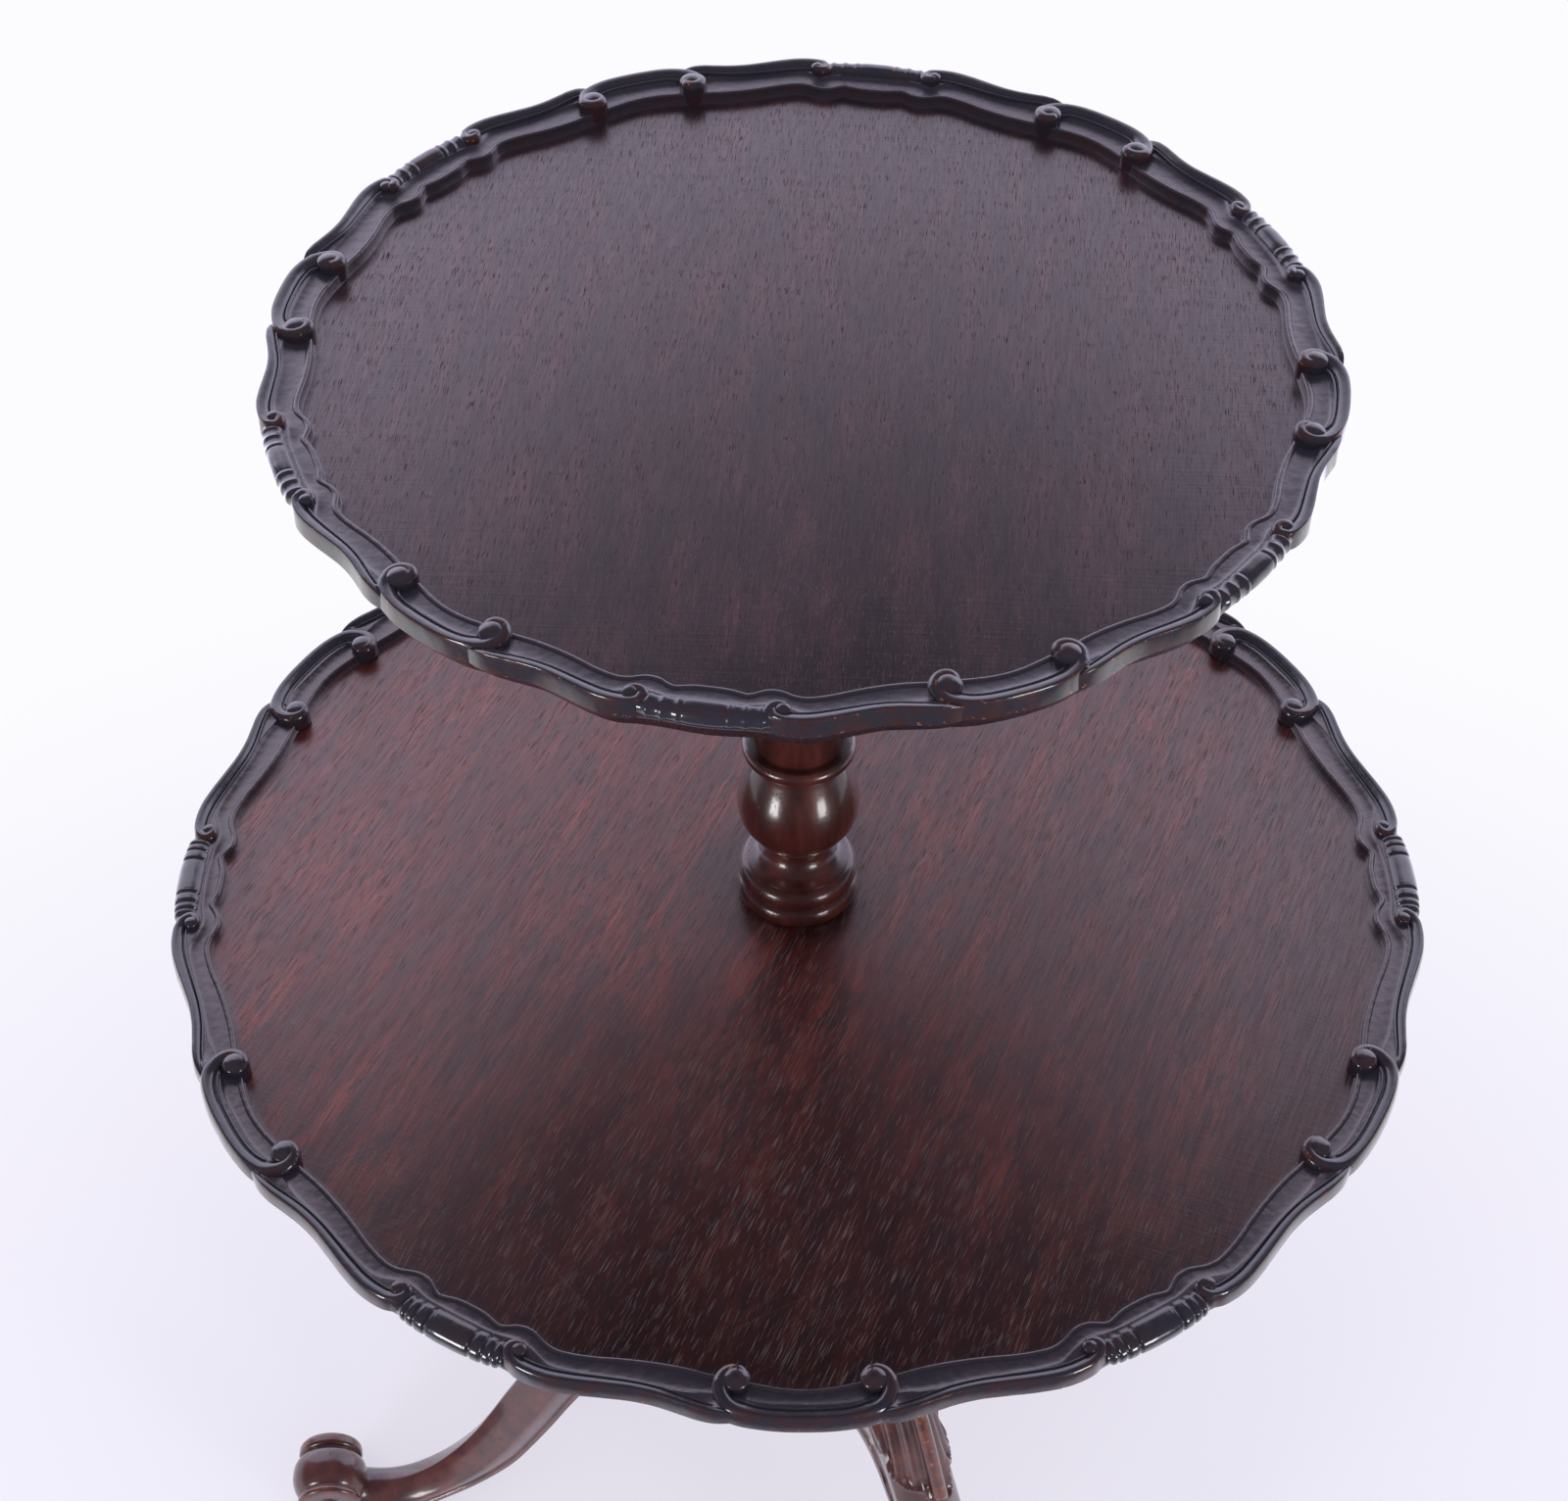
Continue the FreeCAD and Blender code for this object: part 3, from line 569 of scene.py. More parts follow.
    def handled(self, tree: bpy.types.NodeTree, colour: Any, patch: Any,
                speck_mm: tuple[float, float], rubbing: Sequence[float],
                chipping: Sequence[float]) -> Any:
        """Rubs a colour through where hands and cloths go, with a few chips to bare wood.

        The piece's own value worn is 1 on such an edge or high part.

        Args:
            tree: the material's tree.
            colour: what is rubbed.
            patch: noise that says where it is rubbed more.
            speck_mm: width and length of a chip.
            rubbing: patch's values where rubbing begins and is full, and its strength there.
            chipping: the same for the chips.

        Returns:
            The colour.
        """
        worn = add(tree, "Attribute", attribute_name="worn").outputs["Fac"]
        speck = self.grain.stretched(tree, *speck_mm, 1.0, 0.5, seed=0.29)
        much = add(tree, "MapRange", [patch, *rubbing])
        rub = add(tree, "Math", [worn, much], operation="MULTIPLY")
        colour = add(tree, "Mix", {0: rub, 6: colour, 7: linear(self.rubbed)}, **COLOURS)
        speck = add(tree, "Math", [worn, speck], operation="MULTIPLY")
        chip = add(tree, "MapRange", [speck, *chipping])
        return add(tree, "Mix", {0: chip, 6: colour, 7: linear(self.chip)}, **COLOURS)

    def carve(self, tree: bpy.types.NodeTree, wood: Any, height: Any, rough: Any,
              film: Any) -> tuple[Any, Any, Any, Any]:
        """Adds the near-black polish of the rim and its rubbed high parts.

        The piece's own values say where: rim is 1 on the carving, worn is 1 on high parts.
        The carver's tool left low waves 4 mm apart that break up a highlight.

        Args:
            tree: the material's tree.
            wood: colour so far.
            height: relief so far.
            rough: roughness so far.
            film: how whole the shellac is.

        Returns:
            Colour, relief, roughness and shellac.
        """
        rim = add(tree, "Attribute", attribute_name="rim").outputs["Fac"]
        patch = self.grain.stretched(tree, 9.0, 16.0, 3.0, 0.6, seed=0.53)
        wave = Grain().stretched(tree, 4.0, 4.0, 1.0, 0.4, seed=0.67)
        # The rim colour is near-black polish with painted sheen in it.
        black = self.handled(tree, linear(self.rim), patch, (1.6, 3.0), (0.40, 0.66, 0.1, 0.9),
                             (0.675, 0.71, 0.0, 0.7))
        colour = add(tree, "Mix", {0: rim, 6: wood, 7: black}, **COLOURS)
        waves = add(tree, "MapRange", [wave, 0.25, 0.75, 0.0, 1.9])
        relief = add(tree, "Mix", {0: rim, 2: height, 3: waves}, **NUMBERS)
        smooth = add(tree, "MapRange", [patch, *SPREAD, 0.20, 0.34])
        rough = add(tree, "Mix", {0: rim, 2: rough, 3: smooth}, **NUMBERS)
        film = add(tree, "Mix", {0: rim, 2: film, 3: 1.0}, **NUMBERS)
        return colour, relief, rough, film


@dataclass(frozen=True)
class Metal:
    """Hand-finished metal: blacked iron, dull steel or worn brass, lightly mottled."""

    name: str
    dark: str
    light: str
    metallic: float
    roughness: tuple[float, float]
    grit_mm: float = 3.0

    def build(self) -> bpy.types.Material:
        """Makes the material and returns it."""
        material, tree = blank_material(self.name)
        place = add(tree, "TexCoord").outputs["Object"]
        grit = add(tree, "TexNoise", {"Vector": place, "Scale": 1 / (self.grit_mm * MM),
                                      "Detail": 4.0, "Roughness": 0.6})
        colour = add(tree, "ValToRGB", [add(tree, "MapRange", [grit, *SPREAD])],
                     stops=[(0.0, self.dark), (1.0, self.light)])
        relief = add(tree, "Bump", {"Height": grit, "Distance": 0.00015})
        rough = add(tree, "MapRange", [grit, *SPREAD, *self.roughness])
        shader = add(tree, "BsdfPrincipled", {"Base Color": colour, "Metallic": self.metallic,
                                              "Roughness": rough, "Normal": relief})
        add(tree, "OutputMaterial", [shader])
        return material


# ---------------------------------------------------------------- trays
HALF_UNIT = 30.0             # degrees from a boss to the middle of a C-scroll
UNIT = 2 * HALF_UNIT         # degrees from one boss to the next
PATTERN_SIZE = 290.0         # pattern radius of the lower tray, in millimetres
BEARER_THICKNESS = 24.0
BEARER_EDGE = 9.0            # rounding of a bearer's lower edge
EDGE_MIDDLE = 2.6            # the middle of that rounding, from the edge's two faces
FIELD_MARGIN = 12.0          # from the even rows of a tray's field to its inner edge
# Levels of the moulding below the rim's top, in millimetres, before a tray's relief.
EDGE_LEVEL, BEAD_LEVEL, HOLLOW_LEVEL, GROUND_LEVEL = 5.3, 5.05, 5.0, 3.0
SMALL_BEAD = (1.25, 0.75)    # half width and height of the bead on the inner edge
HOLLOW_START = 2.6           # from the inner edge to the hollow band
HOLLOW_RISE = 1.95           # of the hollow band, up to its outer edge
ARRIS = 0.5                  # rounding between the wall and the bevel
BOSS_WIDE = 6.4              # half width of a boss at the lower tray's size
BOSS_TALL = 5.95             # half height of it
BOSS_SUNK = 5.6              # its middle below the rim's top
BOSS_CIRCLE = 1.0035         # radius at which its middle lies, as a share of the pattern's
FULL = 0.85                  # power of a sine below 1, which makes a round fuller
BEAD_DEPTH = 8.0             # of a scroll's side, where its row gives none
# The rim's pattern for half of one of its six repeats, at the lower tray's proportions. Angles
# run from a boss (0) to the middle of a C-scroll (30); radii are shares of the pattern radius.
WALL = ((0, 1.0185), (4, 1.016), (5.5, 1.018), (8, 1.0255), (11, 1.020), (14, 1.010),
        (17, 1.0035), (19.5, 1.0075), (21, 1.0115), (22.3, 1.0145), (23.0, 1.0150),
        (23.8, 1.0165), (24.6, 1.0200), (26, 1.0235), (28, 1.0255), (30, 1.026))
HOLLOW = ((0, 0.981), (4, 0.980), (5.6, 0.977), (7.2, 0.986), (8.5, 0.996), (10, 0.996),
          (12, 0.992), (16, 0.985), (20, 0.986), (22.3, 0.984), (24, 0.985), (26, 0.992),
          (30, 0.994))
INNER = ((0, 0.9565), (1.6, 0.9585), (2.6, 0.9635), (3.1, 0.9655), (3.6, 0.9625), (4.5, 0.9545),
         (5.4, 0.9520), (6.4, 0.9555), (7.4, 0.9640), (8.6, 0.9690), (10, 0.9675), (12, 0.962),
         (14, 0.955), (16, 0.9505), (18, 0.9485), (20, 0.9495), (22, 0.954), (24, 0.958),
         (26, 0.963), (28, 0.968), (30, 0.970))
# Scrolls: angle, radius, crest above the rim's level and width, and in a volute its depth.
S_BACK = ((25.8, 1.0060, -4.6, 2.2), (24.7, 1.0108, -2.9, 2.6), (23.8, 1.0132, -1.4, 3.4),
          (22.8, 1.0140, -0.4, 4.2), (21.6, 1.0115, 0.0, 4.8), (20, 1.0055, 0.0, 5.0),
          (18, 0.9995, 0.0, 5.2), (16, 0.9985, 0.0, 5.4), (13.5, 1.0035, 0.0, 5.9),
          (11, 1.0110, 0.0, 6.4), (9, 1.0160, 0.0, 6.6), (7.5, 1.0162, 0.0, 6.6))
LOWER_HOOK = ((6.2, 1.0125, 0.0, 6.4), (5.4, 1.0040, 0.2, 6.0), (5.12, 0.9950, 0.5, 5.6),
              (5.35, 0.9880, 0.7, 5.2), (5.85, 0.9862, 0.8, 4.8), (6.2, 0.9895, 0.7, 4.4))
UPPER_HOOK = ((6.3, 1.0125, 0.0, 6.6), (5.5, 1.0045, 0.2, 6.4), (5.25, 0.9955, 0.4, 6.1),
              (5.55, 0.9885, 0.6, 5.8), (6.15, 0.9872, 0.7, 5.4), (6.6, 0.9910, 0.7, 5.0))
C_BACK = ((30, 1.0169, 0.0, 6.9), (28, 1.0165, 0.0, 6.9), (26.3, 1.0142, 0.0, 6.9),
          (25, 1.0090, 0.0, 6.9))
LOWER_VOLUTE = ((24, 1.0015, 0.0, 7.2), (23.3, 0.9900, 0.1, 7.0, 8.4),
                (22.95, 0.9760, 0.5, 6.8, 9), (22.95, 0.9635, 0.9, 6.6, 9.7),
                (23.3, 0.9530, 1.2, 6.4, 9.7), (23.9, 0.9480, 1.4, 6.3, 9.7),
                (24.5, 0.9505, 1.4, 6.2, 9.7), (24.65, 0.9570, 1.3, 5.8, 9.7))
UPPER_VOLUTE = ((24, 1.0010, 0.0, 7.4), (23.1, 0.9905, 0.1, 7.4, 8.4),
                (22.5, 0.9780, 0.5, 7.2, 9), (22.3, 0.9650, 0.9, 7.0, 9.4),
                (22.55, 0.9530, 1.2, 6.8, 9.4), (23.2, 0.9450, 1.4, 6.7, 9.4),
                (23.95, 0.9465, 1.4, 6.6, 9.4), (24.2, 0.9540, 1.3, 6.4, 9.4),
                (24.0, 0.9610, 1.2, 6.0, 9.4))
# Section of a bead on the tray's side, as shares of its width.
BEAD_DROP = 0.46             # fall of its quarter round
GROOVE_AT, GROOVE_DEEP = 0.53, 0.52
LIP_AT, LIP_HALF, LIP_LEVEL, LIP_HIGH = 0.645, 0.105, 0.45, 0.13
SIDE_AT = 0.76               # where the second bead's side stands
UPRIGHT = 0.75               # depth below which a bead's side isn't scaled with the relief
# Knobs in the eyes of the scrolls: angle, radius, size and top in millimetres.
LOWER_KNOBS = ((24.2, 0.9602, 6.0, 2.1), (6.0, 0.9925, 3.3, 1.1))
UPPER_KNOBS = ((23.5, 0.9650, 6.4, 1.8), (6.45, 0.9960, 3.4, 0.9))
# Boss and reels: degrees from the boss's middle, share of the full radius.
LOWER_BOSS = ((0, 1.0), (1.3, 0.995), (1.75, 0.975), (1.95, 0.94), (2.04, 0.84), (2.12, 0.80),
              (2.2, 0.84), (2.3, 0.94), (2.45, 0.965), (2.75, 0.97), (3.0, 0.96), (3.14, 0.92),
              (3.22, 0.82), (3.3, 0.79), (3.38, 0.82), (3.46, 0.90), (3.6, 0.92), (3.8, 0.92),
              (3.95, 0.89), (4.03, 0.80), (4.11, 0.77), (4.19, 0.80), (4.28, 0.85), (4.45, 0.87),
              (4.62, 0.83), (4.75, 0.72), (5.1, 0.66))
UPPER_BOSS = ((0, 1.0), (1.4, 0.985), (1.85, 0.955), (2.05, 0.93), (2.2, 0.95), (2.42, 0.985),
              (2.64, 0.94), (2.85, 0.895), (3.2, 0.88), (3.5, 0.895), (3.7, 0.93), (3.92, 0.965),
              (4.14, 0.92), (4.35, 0.865), (4.65, 0.845), (4.95, 0.86), (5.15, 0.89),
              (5.37, 0.92), (5.58, 0.86), (5.8, 0.78), (6.3, 0.70))


@dataclass(frozen=True)
class RimPattern:
    """What differs between the two trays' rims."""

    volute: tuple[tuple[float, ...], ...]
    hook: tuple[tuple[float, ...], ...]
    knobs: tuple[tuple[float, ...], ...]
    boss: tuple[tuple[float, float], ...]
    inner_shift: float           # moves the inner edge, as a share of the pattern radius
    boss_stretch: float          # widens the boss and small scrolls, in angle
    bead_scale: float            # width of the beads as a share of the lower tray's
    relief: float                # height of the moulding as a share of the lower tray's
    lean: float                  # how far a bead's crest lies outwards, as a share of its width


@dataclass
class PiecrustTray:
    """A round tray carved from one board, with the bearer that carries it."""

    name: str
    body: str
    rim_top: float
    pattern_radius: float
    start_angle: float
    thickness: float
    dish_depth: float
    bevel_run: float
    bore: float                  # radius of the tray's hole, 0 for none
    pattern: RimPattern
    bearer: tuple[float, float]  # radius and underside height
    pin_bore: float              # radius of the bearer's bore as it shows round the pin
    board_finish: Mahogany
    carving_finish: Mahogany
    bearer_finish: Mahogany
    slot: str
    repeats: int = 6
    columns: int = 180           # points round one repeat
    wall_foot: float = 8.0       # depth below the rim's top where the bevel begins

    def turn(self, degrees: Array) -> Array:
        """Pattern angle to this tray's angle: a + stretch * a * (1 - a/20)^2 below 20."""
        a = np.asarray(degrees, float)
        near = np.clip(1 - np.abs(a) / 20, 0, 1)
        return a + self.pattern.boss_stretch * a * near ** 2

    def heading(self, unit: int) -> float:
        """Direction of a repeat's boss in degrees."""
        return UNIT * unit + self.start_angle

    def line(self, table: Sequence[tuple[float, float]], degrees: Array) -> Array:
        """Radius in millimetres of one of the rim's lines at pattern angles."""
        knots, radii = np.array(table, float).T
        return through(knots, radii, np.abs(degrees), level_ends=True) * self.pattern_radius

    def board_net(self) -> Net:
        """The tray itself: flat field, inner edge, hollow band, wall, bevel and underside.

        Rows run along the section from the middle of the field outwards and back beneath to
        the middle; columns run round the rim, closer together where the carving is small.
        """
        u = np.linspace(-1, 1, self.columns, endpoint=False)
        a = HALF_UNIT * (u - 0.045 * np.sin(2 * np.pi * u) - 0.03 * np.sin(4 * np.pi * u))
        wall, hollow, inner = (self.line(t, a) for t in (WALL, HOLLOW, INNER))
        inner = inner + self.pattern.inner_shift * self.pattern_radius
        k = self.pattern.relief
        low = -self.dish_depth
        corner = 2.2 * np.exp(-((np.abs(a) - 23.2) / 0.9) ** 2)
        rows: list[tuple[Array, Array, float, float]] = []

        def row(radius: Any, z: Any, rim: float, worn: float = 0.0) -> None:
            """Notes one row of the section."""
            rows.append((radius + 0 * a, z + 0 * a, rim, worn))

        edge = inner.min() - FIELD_MARGIN
        for share in np.linspace(self.bore / edge if self.bore else 0.02, 1, 9):
            row(edge * share, low, 0.0)
        for back, rim in ((7.0, 0.0), (3.5, 0.10), (1.6, 0.45)):
            row(inner - back, low, rim)
        # The inner edge, and the small bead on it.
        row(inner - 0.8, low + 0.2, 0.85, 0.3)
        row(inner - 0.35, low + 0.9, 1.0, 0.6)
        row(inner - 0.05, -EDGE_LEVEL * k, 1.0, 0.6)
        half, high = SMALL_BEAD
        for t in np.radians(np.linspace(175, 15, 9)):
            row(inner + half * (1 + math.cos(t)), (high * math.sin(t) - BEAD_LEVEL) * k,
                1.0, 0.2)
        # The hollow band: a quarter of a flattened oval.
        start = inner + HOLLOW_START
        for t in np.linspace(0, 1, 12):
            sink = -HOLLOW_LEVEL + HOLLOW_RISE * (1 - math.sqrt(max(0.0, 1 - t ** 2.4)))
            row(start + (hollow - start) * t, sink * k, 1.0)
        # The ground below the scrolls, and the wall with its bevel.
        top = -GROUND_LEVEL * k
        row(hollow + 0.5, top, 1.0)
        for t, much in ((0.3, 0.15), (0.6, 0.6), (0.8, 1.0)):
            row(hollow + (wall - hollow) * t, top + corner * much, 1.0)
        row(wall - 1.9, top + corner, 1.0)
        row(wall - 0.9, top - 0.8 + corner * 0.6, 1.0)
        row(wall - 0.45, -self.wall_foot * 0.62, 1.0, 0.7)
        row(wall - 0.1, -self.wall_foot * 0.86, 1.0, 0.7)
        row(wall, -self.wall_foot, 1.0, 0.5)
        row(wall - 0.35, -self.wall_foot - ARRIS, 1.0, 0.6)
        drop = self.thickness - self.wall_foot - ARRIS
        for t in (0.3, 0.7, 1.0):
            row(wall - 0.35 - self.bevel_run * t, -self.wall_foot - ARRIS - drop * t,
                1.0 - 0.6 * t, 0.5)
        for share in np.linspace(0.97, self.bore / PATTERN_SIZE if self.bore else 0.02, 8):
            row(wall.mean() * share - self.bevel_run * share, -self.thickness, 0.25)
        radius, height = (np.tile(np.array([r[i] for r in rows]), (1, self.repeats))
                          for i in (0, 1))
        turns = np.concatenate([self.turn(a) + UNIT * n for n in range(self.repeats)])
        points = np.concatenate([polar(radius, turns[None, :] + self.start_angle),
                                 (height + self.rim_top)[..., None]], -1)
        rim, worn = (np.broadcast_to(np.array([r[i] for r in rows])[:, None], radius.shape)
                     for i in (2, 3))
        return Net(points, ring=bool(self.bore), values={"rim": rim, "worn": worn})

    def bead(self, controls: Sequence[tuple[float, ...]], mirror: bool, unit: int,
             count: int, both_halves: bool = False) -> Net:
        """A carved bead swept along a scroll's line.

        From its crest the section falls to the outside as x = -L - (X - L) sin(s)^FULL,
        z = -D (1 - cos s), and to the tray's side as a quarter round that ends in a V groove
        and a thin second bead. Where the line follows the rim, the crest leans out by L, X
        reaches the wall and D its foot; in a volute L is 0, X is half the width and D is
        shallow, and the side below is upright.

        Args:
            controls: angle, radius, crest height, width and any depth along the line.
            mirror: True for the other half of the repeat.
            unit: which repeat, from 0.
            count: points along the line.
            both_halves: True carries the line on through its mirror image.

        Returns:
            The closed net.
        """
        table = np.array([(*row, BEAD_DEPTH)[:5] for row in controls], float)
        angles = self.turn(table[:, 0])
        wall = self.line(WALL, table[:, 0])
        table = np.column_stack([table, wall])
        if both_halves:
            angles = np.concatenate([UNIT - angles[::-1], angles[1:]])
            table = np.concatenate([table[::-1], table[1:]])
        angles = -angles if mirror else angles
        place = polar(table[:, 1] * self.pattern_radius, angles + self.heading(unit))
        path = even_path(np.column_stack([place, table[:, 2:]]), count)
        xy, (crest, width, depth, wall) = path[:, :2], path[:, 2:].T
        width = width * self.pattern.bead_scale
        tangent = np.gradient(xy, axis=0)
        tangent /= np.linalg.norm(tangent, axis=1, keepdims=True)
        across = np.stack([-tangent[:, 1], tangent[:, 0]], -1)
        radius = np.linalg.norm(xy, axis=1)
        middle = count // 2 if both_halves else int(np.argmax(width * (radius > 0.98 * wall)))
        if across[middle] @ xy[middle] > 0:
            across = -across
        outward = -(across * xy).sum(axis=1) / radius
        along = soft_step(0.55, 0.92, outward) * soft_step(-9.5, -6.0, radius - wall)
        reach = np.clip(wall - radius, 0.40 * width, 0.95 * width)
        out = 0.5 * width + along * (reach - 0.5 * width)
        fall = (1 - along) * 0.55 * width + along * (self.wall_foot + np.minimum(crest, 0))
        depth = np.maximum(depth + np.minimum(crest, 0), fall + 0.3)
        lean = (self.pattern.lean * width * along)[:, None]
        s = np.radians(np.linspace(90, 0, 11))[None, :]
        outer_x = -lean - (out[:, None] - lean) * np.sin(s) ** FULL
        outer_z = -fall[:, None] * (1 - np.cos(s))
        t = np.radians(np.linspace(78, 8, 7))
        w = width[:, None]
        near_x = (0.5 * w + lean) * np.cos(t) - lean
        near_z = -BEAD_DROP * w * (1 - np.sin(t))
        sink = 0.34 * (1 - along[:, None])
        groove = (GROOVE_AT * w, -(GROOVE_DEEP + sink) * w)
        small = np.radians(np.linspace(165, 5, 5))
        lip_x = w * (LIP_AT + LIP_HALF * np.cos(small))
        lip_z = w * (-LIP_LEVEL - 1.4 * sink + LIP_HIGH * np.sin(small))
        down = -depth[:, None]
        x = np.concatenate([-out[:, None], -out[:, None], outer_x, near_x, groove[0],
                            lip_x, SIDE_AT * w, SIDE_AT * w], axis=1)
        z = np.concatenate([down, down * 0.5 - fall[:, None] * 0.5, outer_z, near_z, groove[1],
                            lip_z, np.minimum(down * 0.8, -UPRIGHT * w), down], axis=1)
        z = np.where(z > -UPRIGHT * w, z * self.pattern.relief, z) + crest[:, None]
        points = np.concatenate([xy[:, None, :] + x[..., None] * across[:, None, :],
                                 (z + self.rim_top)[..., None]], -1)
        high = soft_step(-3.2, -0.3, z - crest[:, None]) * (x < 0.5 * w)
        curl = soft_step(0.1, 0.9, crest)[:, None]
        foot = soft_step(-0.6, -1.0, x / out[:, None]) * soft_step(-5.0, -7.5, z) * 0.9
        outside = soft_step(-0.25, -0.75, x / out[:, None])
        worn = np.clip(high * (0.30 + 0.70 * curl) + 0.7 * outside + foot, 0, 1)
        return Net(points, values={"rim": np.ones_like(worn), "worn": worn})

    def knob_net(self, knob: Sequence[float], mirror: bool, unit: int) -> Net:
        """The round eye of a volute: an upright post under a low dome.

        The dome is radius r sin(t) at height top - 0.62 r (1 - cos t).
        """
        angle, share, size, top = knob
        size = size * self.pattern.bead_scale
        turn = float(self.turn(-angle if mirror else angle)) + self.heading(unit)
        centre = polar(np.array(share * self.pattern_radius), np.array(turn))
        t = np.radians(np.linspace(4, 90, 14))
        r = np.concatenate([size * np.sin(t), [size, size]])
        z = np.concatenate([top - 0.62 * size * (1 - np.cos(t)), [-5.0, -9.2]])
        spin = np.linspace(0, 2 * np.pi, 36, endpoint=False)
        flat = centre + r[:, None, None] * np.stack([np.cos(spin), np.sin(spin)], -1)
        height = np.broadcast_to(z[:, None] + self.rim_top, flat.shape[:2])
        worn = np.broadcast_to(soft_step(-3.0, 0.5, z)[:, None], height.shape)
        return Net(np.concatenate([flat, height[..., None]], -1),
                   values={"rim": np.ones_like(worn), "worn": 0.55 * worn})

    def boss_net(self, unit: int) -> Net:
        """Barrel boss with its reels: an oval section carried along the rim.

        The oval's half width and half height are BOSS_WIDE and BOSS_TALL times the share in
        the boss table, at the lower tray's size. Its middle follows a circle, BOSS_CIRCLE.
        """
        knots, share = np.array(self.pattern.boss, float).T
        a = np.linspace(-knots[-1], knots[-1], 211)
        scale = self.pattern_radius / PATTERN_SIZE
        size = through(knots, share, np.abs(a)) * scale
        t = np.linspace(0, 2 * np.pi, 40, endpoint=False)
        out, up = (np.sign(wave) * np.abs(wave) ** FULL for wave in (np.cos(t), np.sin(t)))
        radius = BOSS_CIRCLE * self.pattern_radius + BOSS_WIDE * size[:, None] * out[None, :]
        flat = polar(radius, (a + self.heading(unit))[:, None] + 0 * radius)
        height = self.rim_top - BOSS_SUNK * scale + BOSS_TALL * size[:, None] * up
        worn = soft_step(0.70, 0.95, size[:, None] / size.max()) * soft_step(0.1, 0.9, up)
        return Net(np.concatenate([flat, height[..., None]], -1),
                   values={"rim": np.ones_like(height), "worn": 0.5 * worn + 0 * height})

    def build(self) -> None:
        """Makes the tray's pieces: board, scrolls, knobs, bosses and bearer."""
        node = f"{self.name}_tray"
        make_piece(f"{node}_board", [self.board_net()], self.board_finish.build(), self.body,
                   [node], crease=42)
        carving = self.carving_finish.build()
        c_scroll = C_BACK + self.pattern.volute
        scrolls, knobs = [], []
        for unit in range(self.repeats):
            for mirror in (False, True):
                scrolls.append(self.bead(S_BACK + self.pattern.hook, mirror, unit, 125))
                knobs += [self.knob_net(k, mirror, unit) for k in self.pattern.knobs]
            scrolls.append(self.bead(c_scroll, False, unit, 190, both_halves=True))
        bosses = [self.boss_net(unit) for unit in range(self.repeats)]
        for part, nets, crease in (("scrolls", scrolls, 50), ("knobs", knobs, 60),
                                   ("bosses", bosses, 55)):
            make_piece(f"{node}_{part}", nets, carving, self.body, [node], crease)
        make_piece(f"{self.name}_bearer_disc", [self.bearer_net()], self.bearer_finish.build(),
                   self.body, [f"{self.name}_bearer"])

    def bearer_net(self) -> Net:
        """The turned disc below the tray, bored for the pin and rounded at its lower edge."""
        radius, low = self.bearer
        bore, top, edge = self.pin_bore, BEARER_THICKNESS, BEARER_EDGE
        profile = moulded([
            ("line", (bore, top), (bore, 0.0), (radius - edge, 0.0)),
            ("arc", (radius - EDGE_MIDDLE, EDGE_MIDDLE), (radius, edge)),
            ("line", (radius, top), (bore, top)),
        ], step=3.0)
        net = turned_net(profile[:-1], low)
        net.ring = True
        return net


# ---------------------------------------------------------------- turned stem
STEM = (
    ("line", (27.4, 0.0)), ("arc", (29.2, 4.8), (27.6, 9.6)), ("line", (26.3, 10.3)),
    ("arc", (28.3, 15.8), (25.6, 21.3)), ("line", (24.2, 21.9), (24.1, 23.6)),
    ("curve", (20.0, 25.2), (17.0, 28.6), (15.6, 32.6), (16.4, 37.2)), ("line", (17.4, 37.4)),
    ("arc", (18.7, 38.8), (17.8, 40.2)), ("line", (18.4, 40.6)), ("curve", (23.4, 45.4),
     (27.2, 52.2), (28.7, 60.4), (27.8, 69.2), (24.8, 78.0), (21.0, 85.4), (19.0, 89.0),
     (18.9, 90.8)), ("curve", (20.4, 91.3), (22.4, 92.2)), ("arc", (26.3, 96.6),
     (24.4, 100.0)), ("line", (20.9, 99.0), (20.5, 99.8)), ("curve", (20.3, 112.0),
     (19.8, 135.0), (17.6, 178.0), (15.2, 215.0)), ("line", (17.2, 217.4)),
    ("arc", (20.2, 221.6), (17.2, 225.8)), ("line", (15.4, 227.8)), ("curve", (16.2, 232.0),
     (22.0, 238.5), (24.0, 246.0), (20.6, 254.0), (16.4, 260.0), (17.4, 264.6), (25.0, 269.4),
     (36.0, 272.0)), ("line", (38.0, 273.6), (38.0, 279.4)),
)
PILLAR = (
    ("line", (0.5, 0.0), (34.0, 0.0), (35.0, 1.0), (35.0, 104.0)), ("arc", (40.4, 110.0),
     (35.0, 116.0)), ("line", (31.0, 117.6)), ("arc", (26.4, 124.0), (29.2, 131.0)),
    ("line", (32.0, 132.6)), ("curve", (41.6, 149.0), (44.2, 168.0), (37.4, 194.0),
     (27.4, 222.0), (21.8, 250.0), (20.2, 267.0)), ("line", (24.0, 269.6)),
    ("arc", (27.7, 274.4), (24.0, 279.2)), ("line", (21.2, 281.0)), ("curve", (20.2, 292.0),
     (23.4, 304.0), (33.0, 315.6), (48.0, 323.6)), ("line", (52.0, 326.6), (52.0, 338.2)),
)


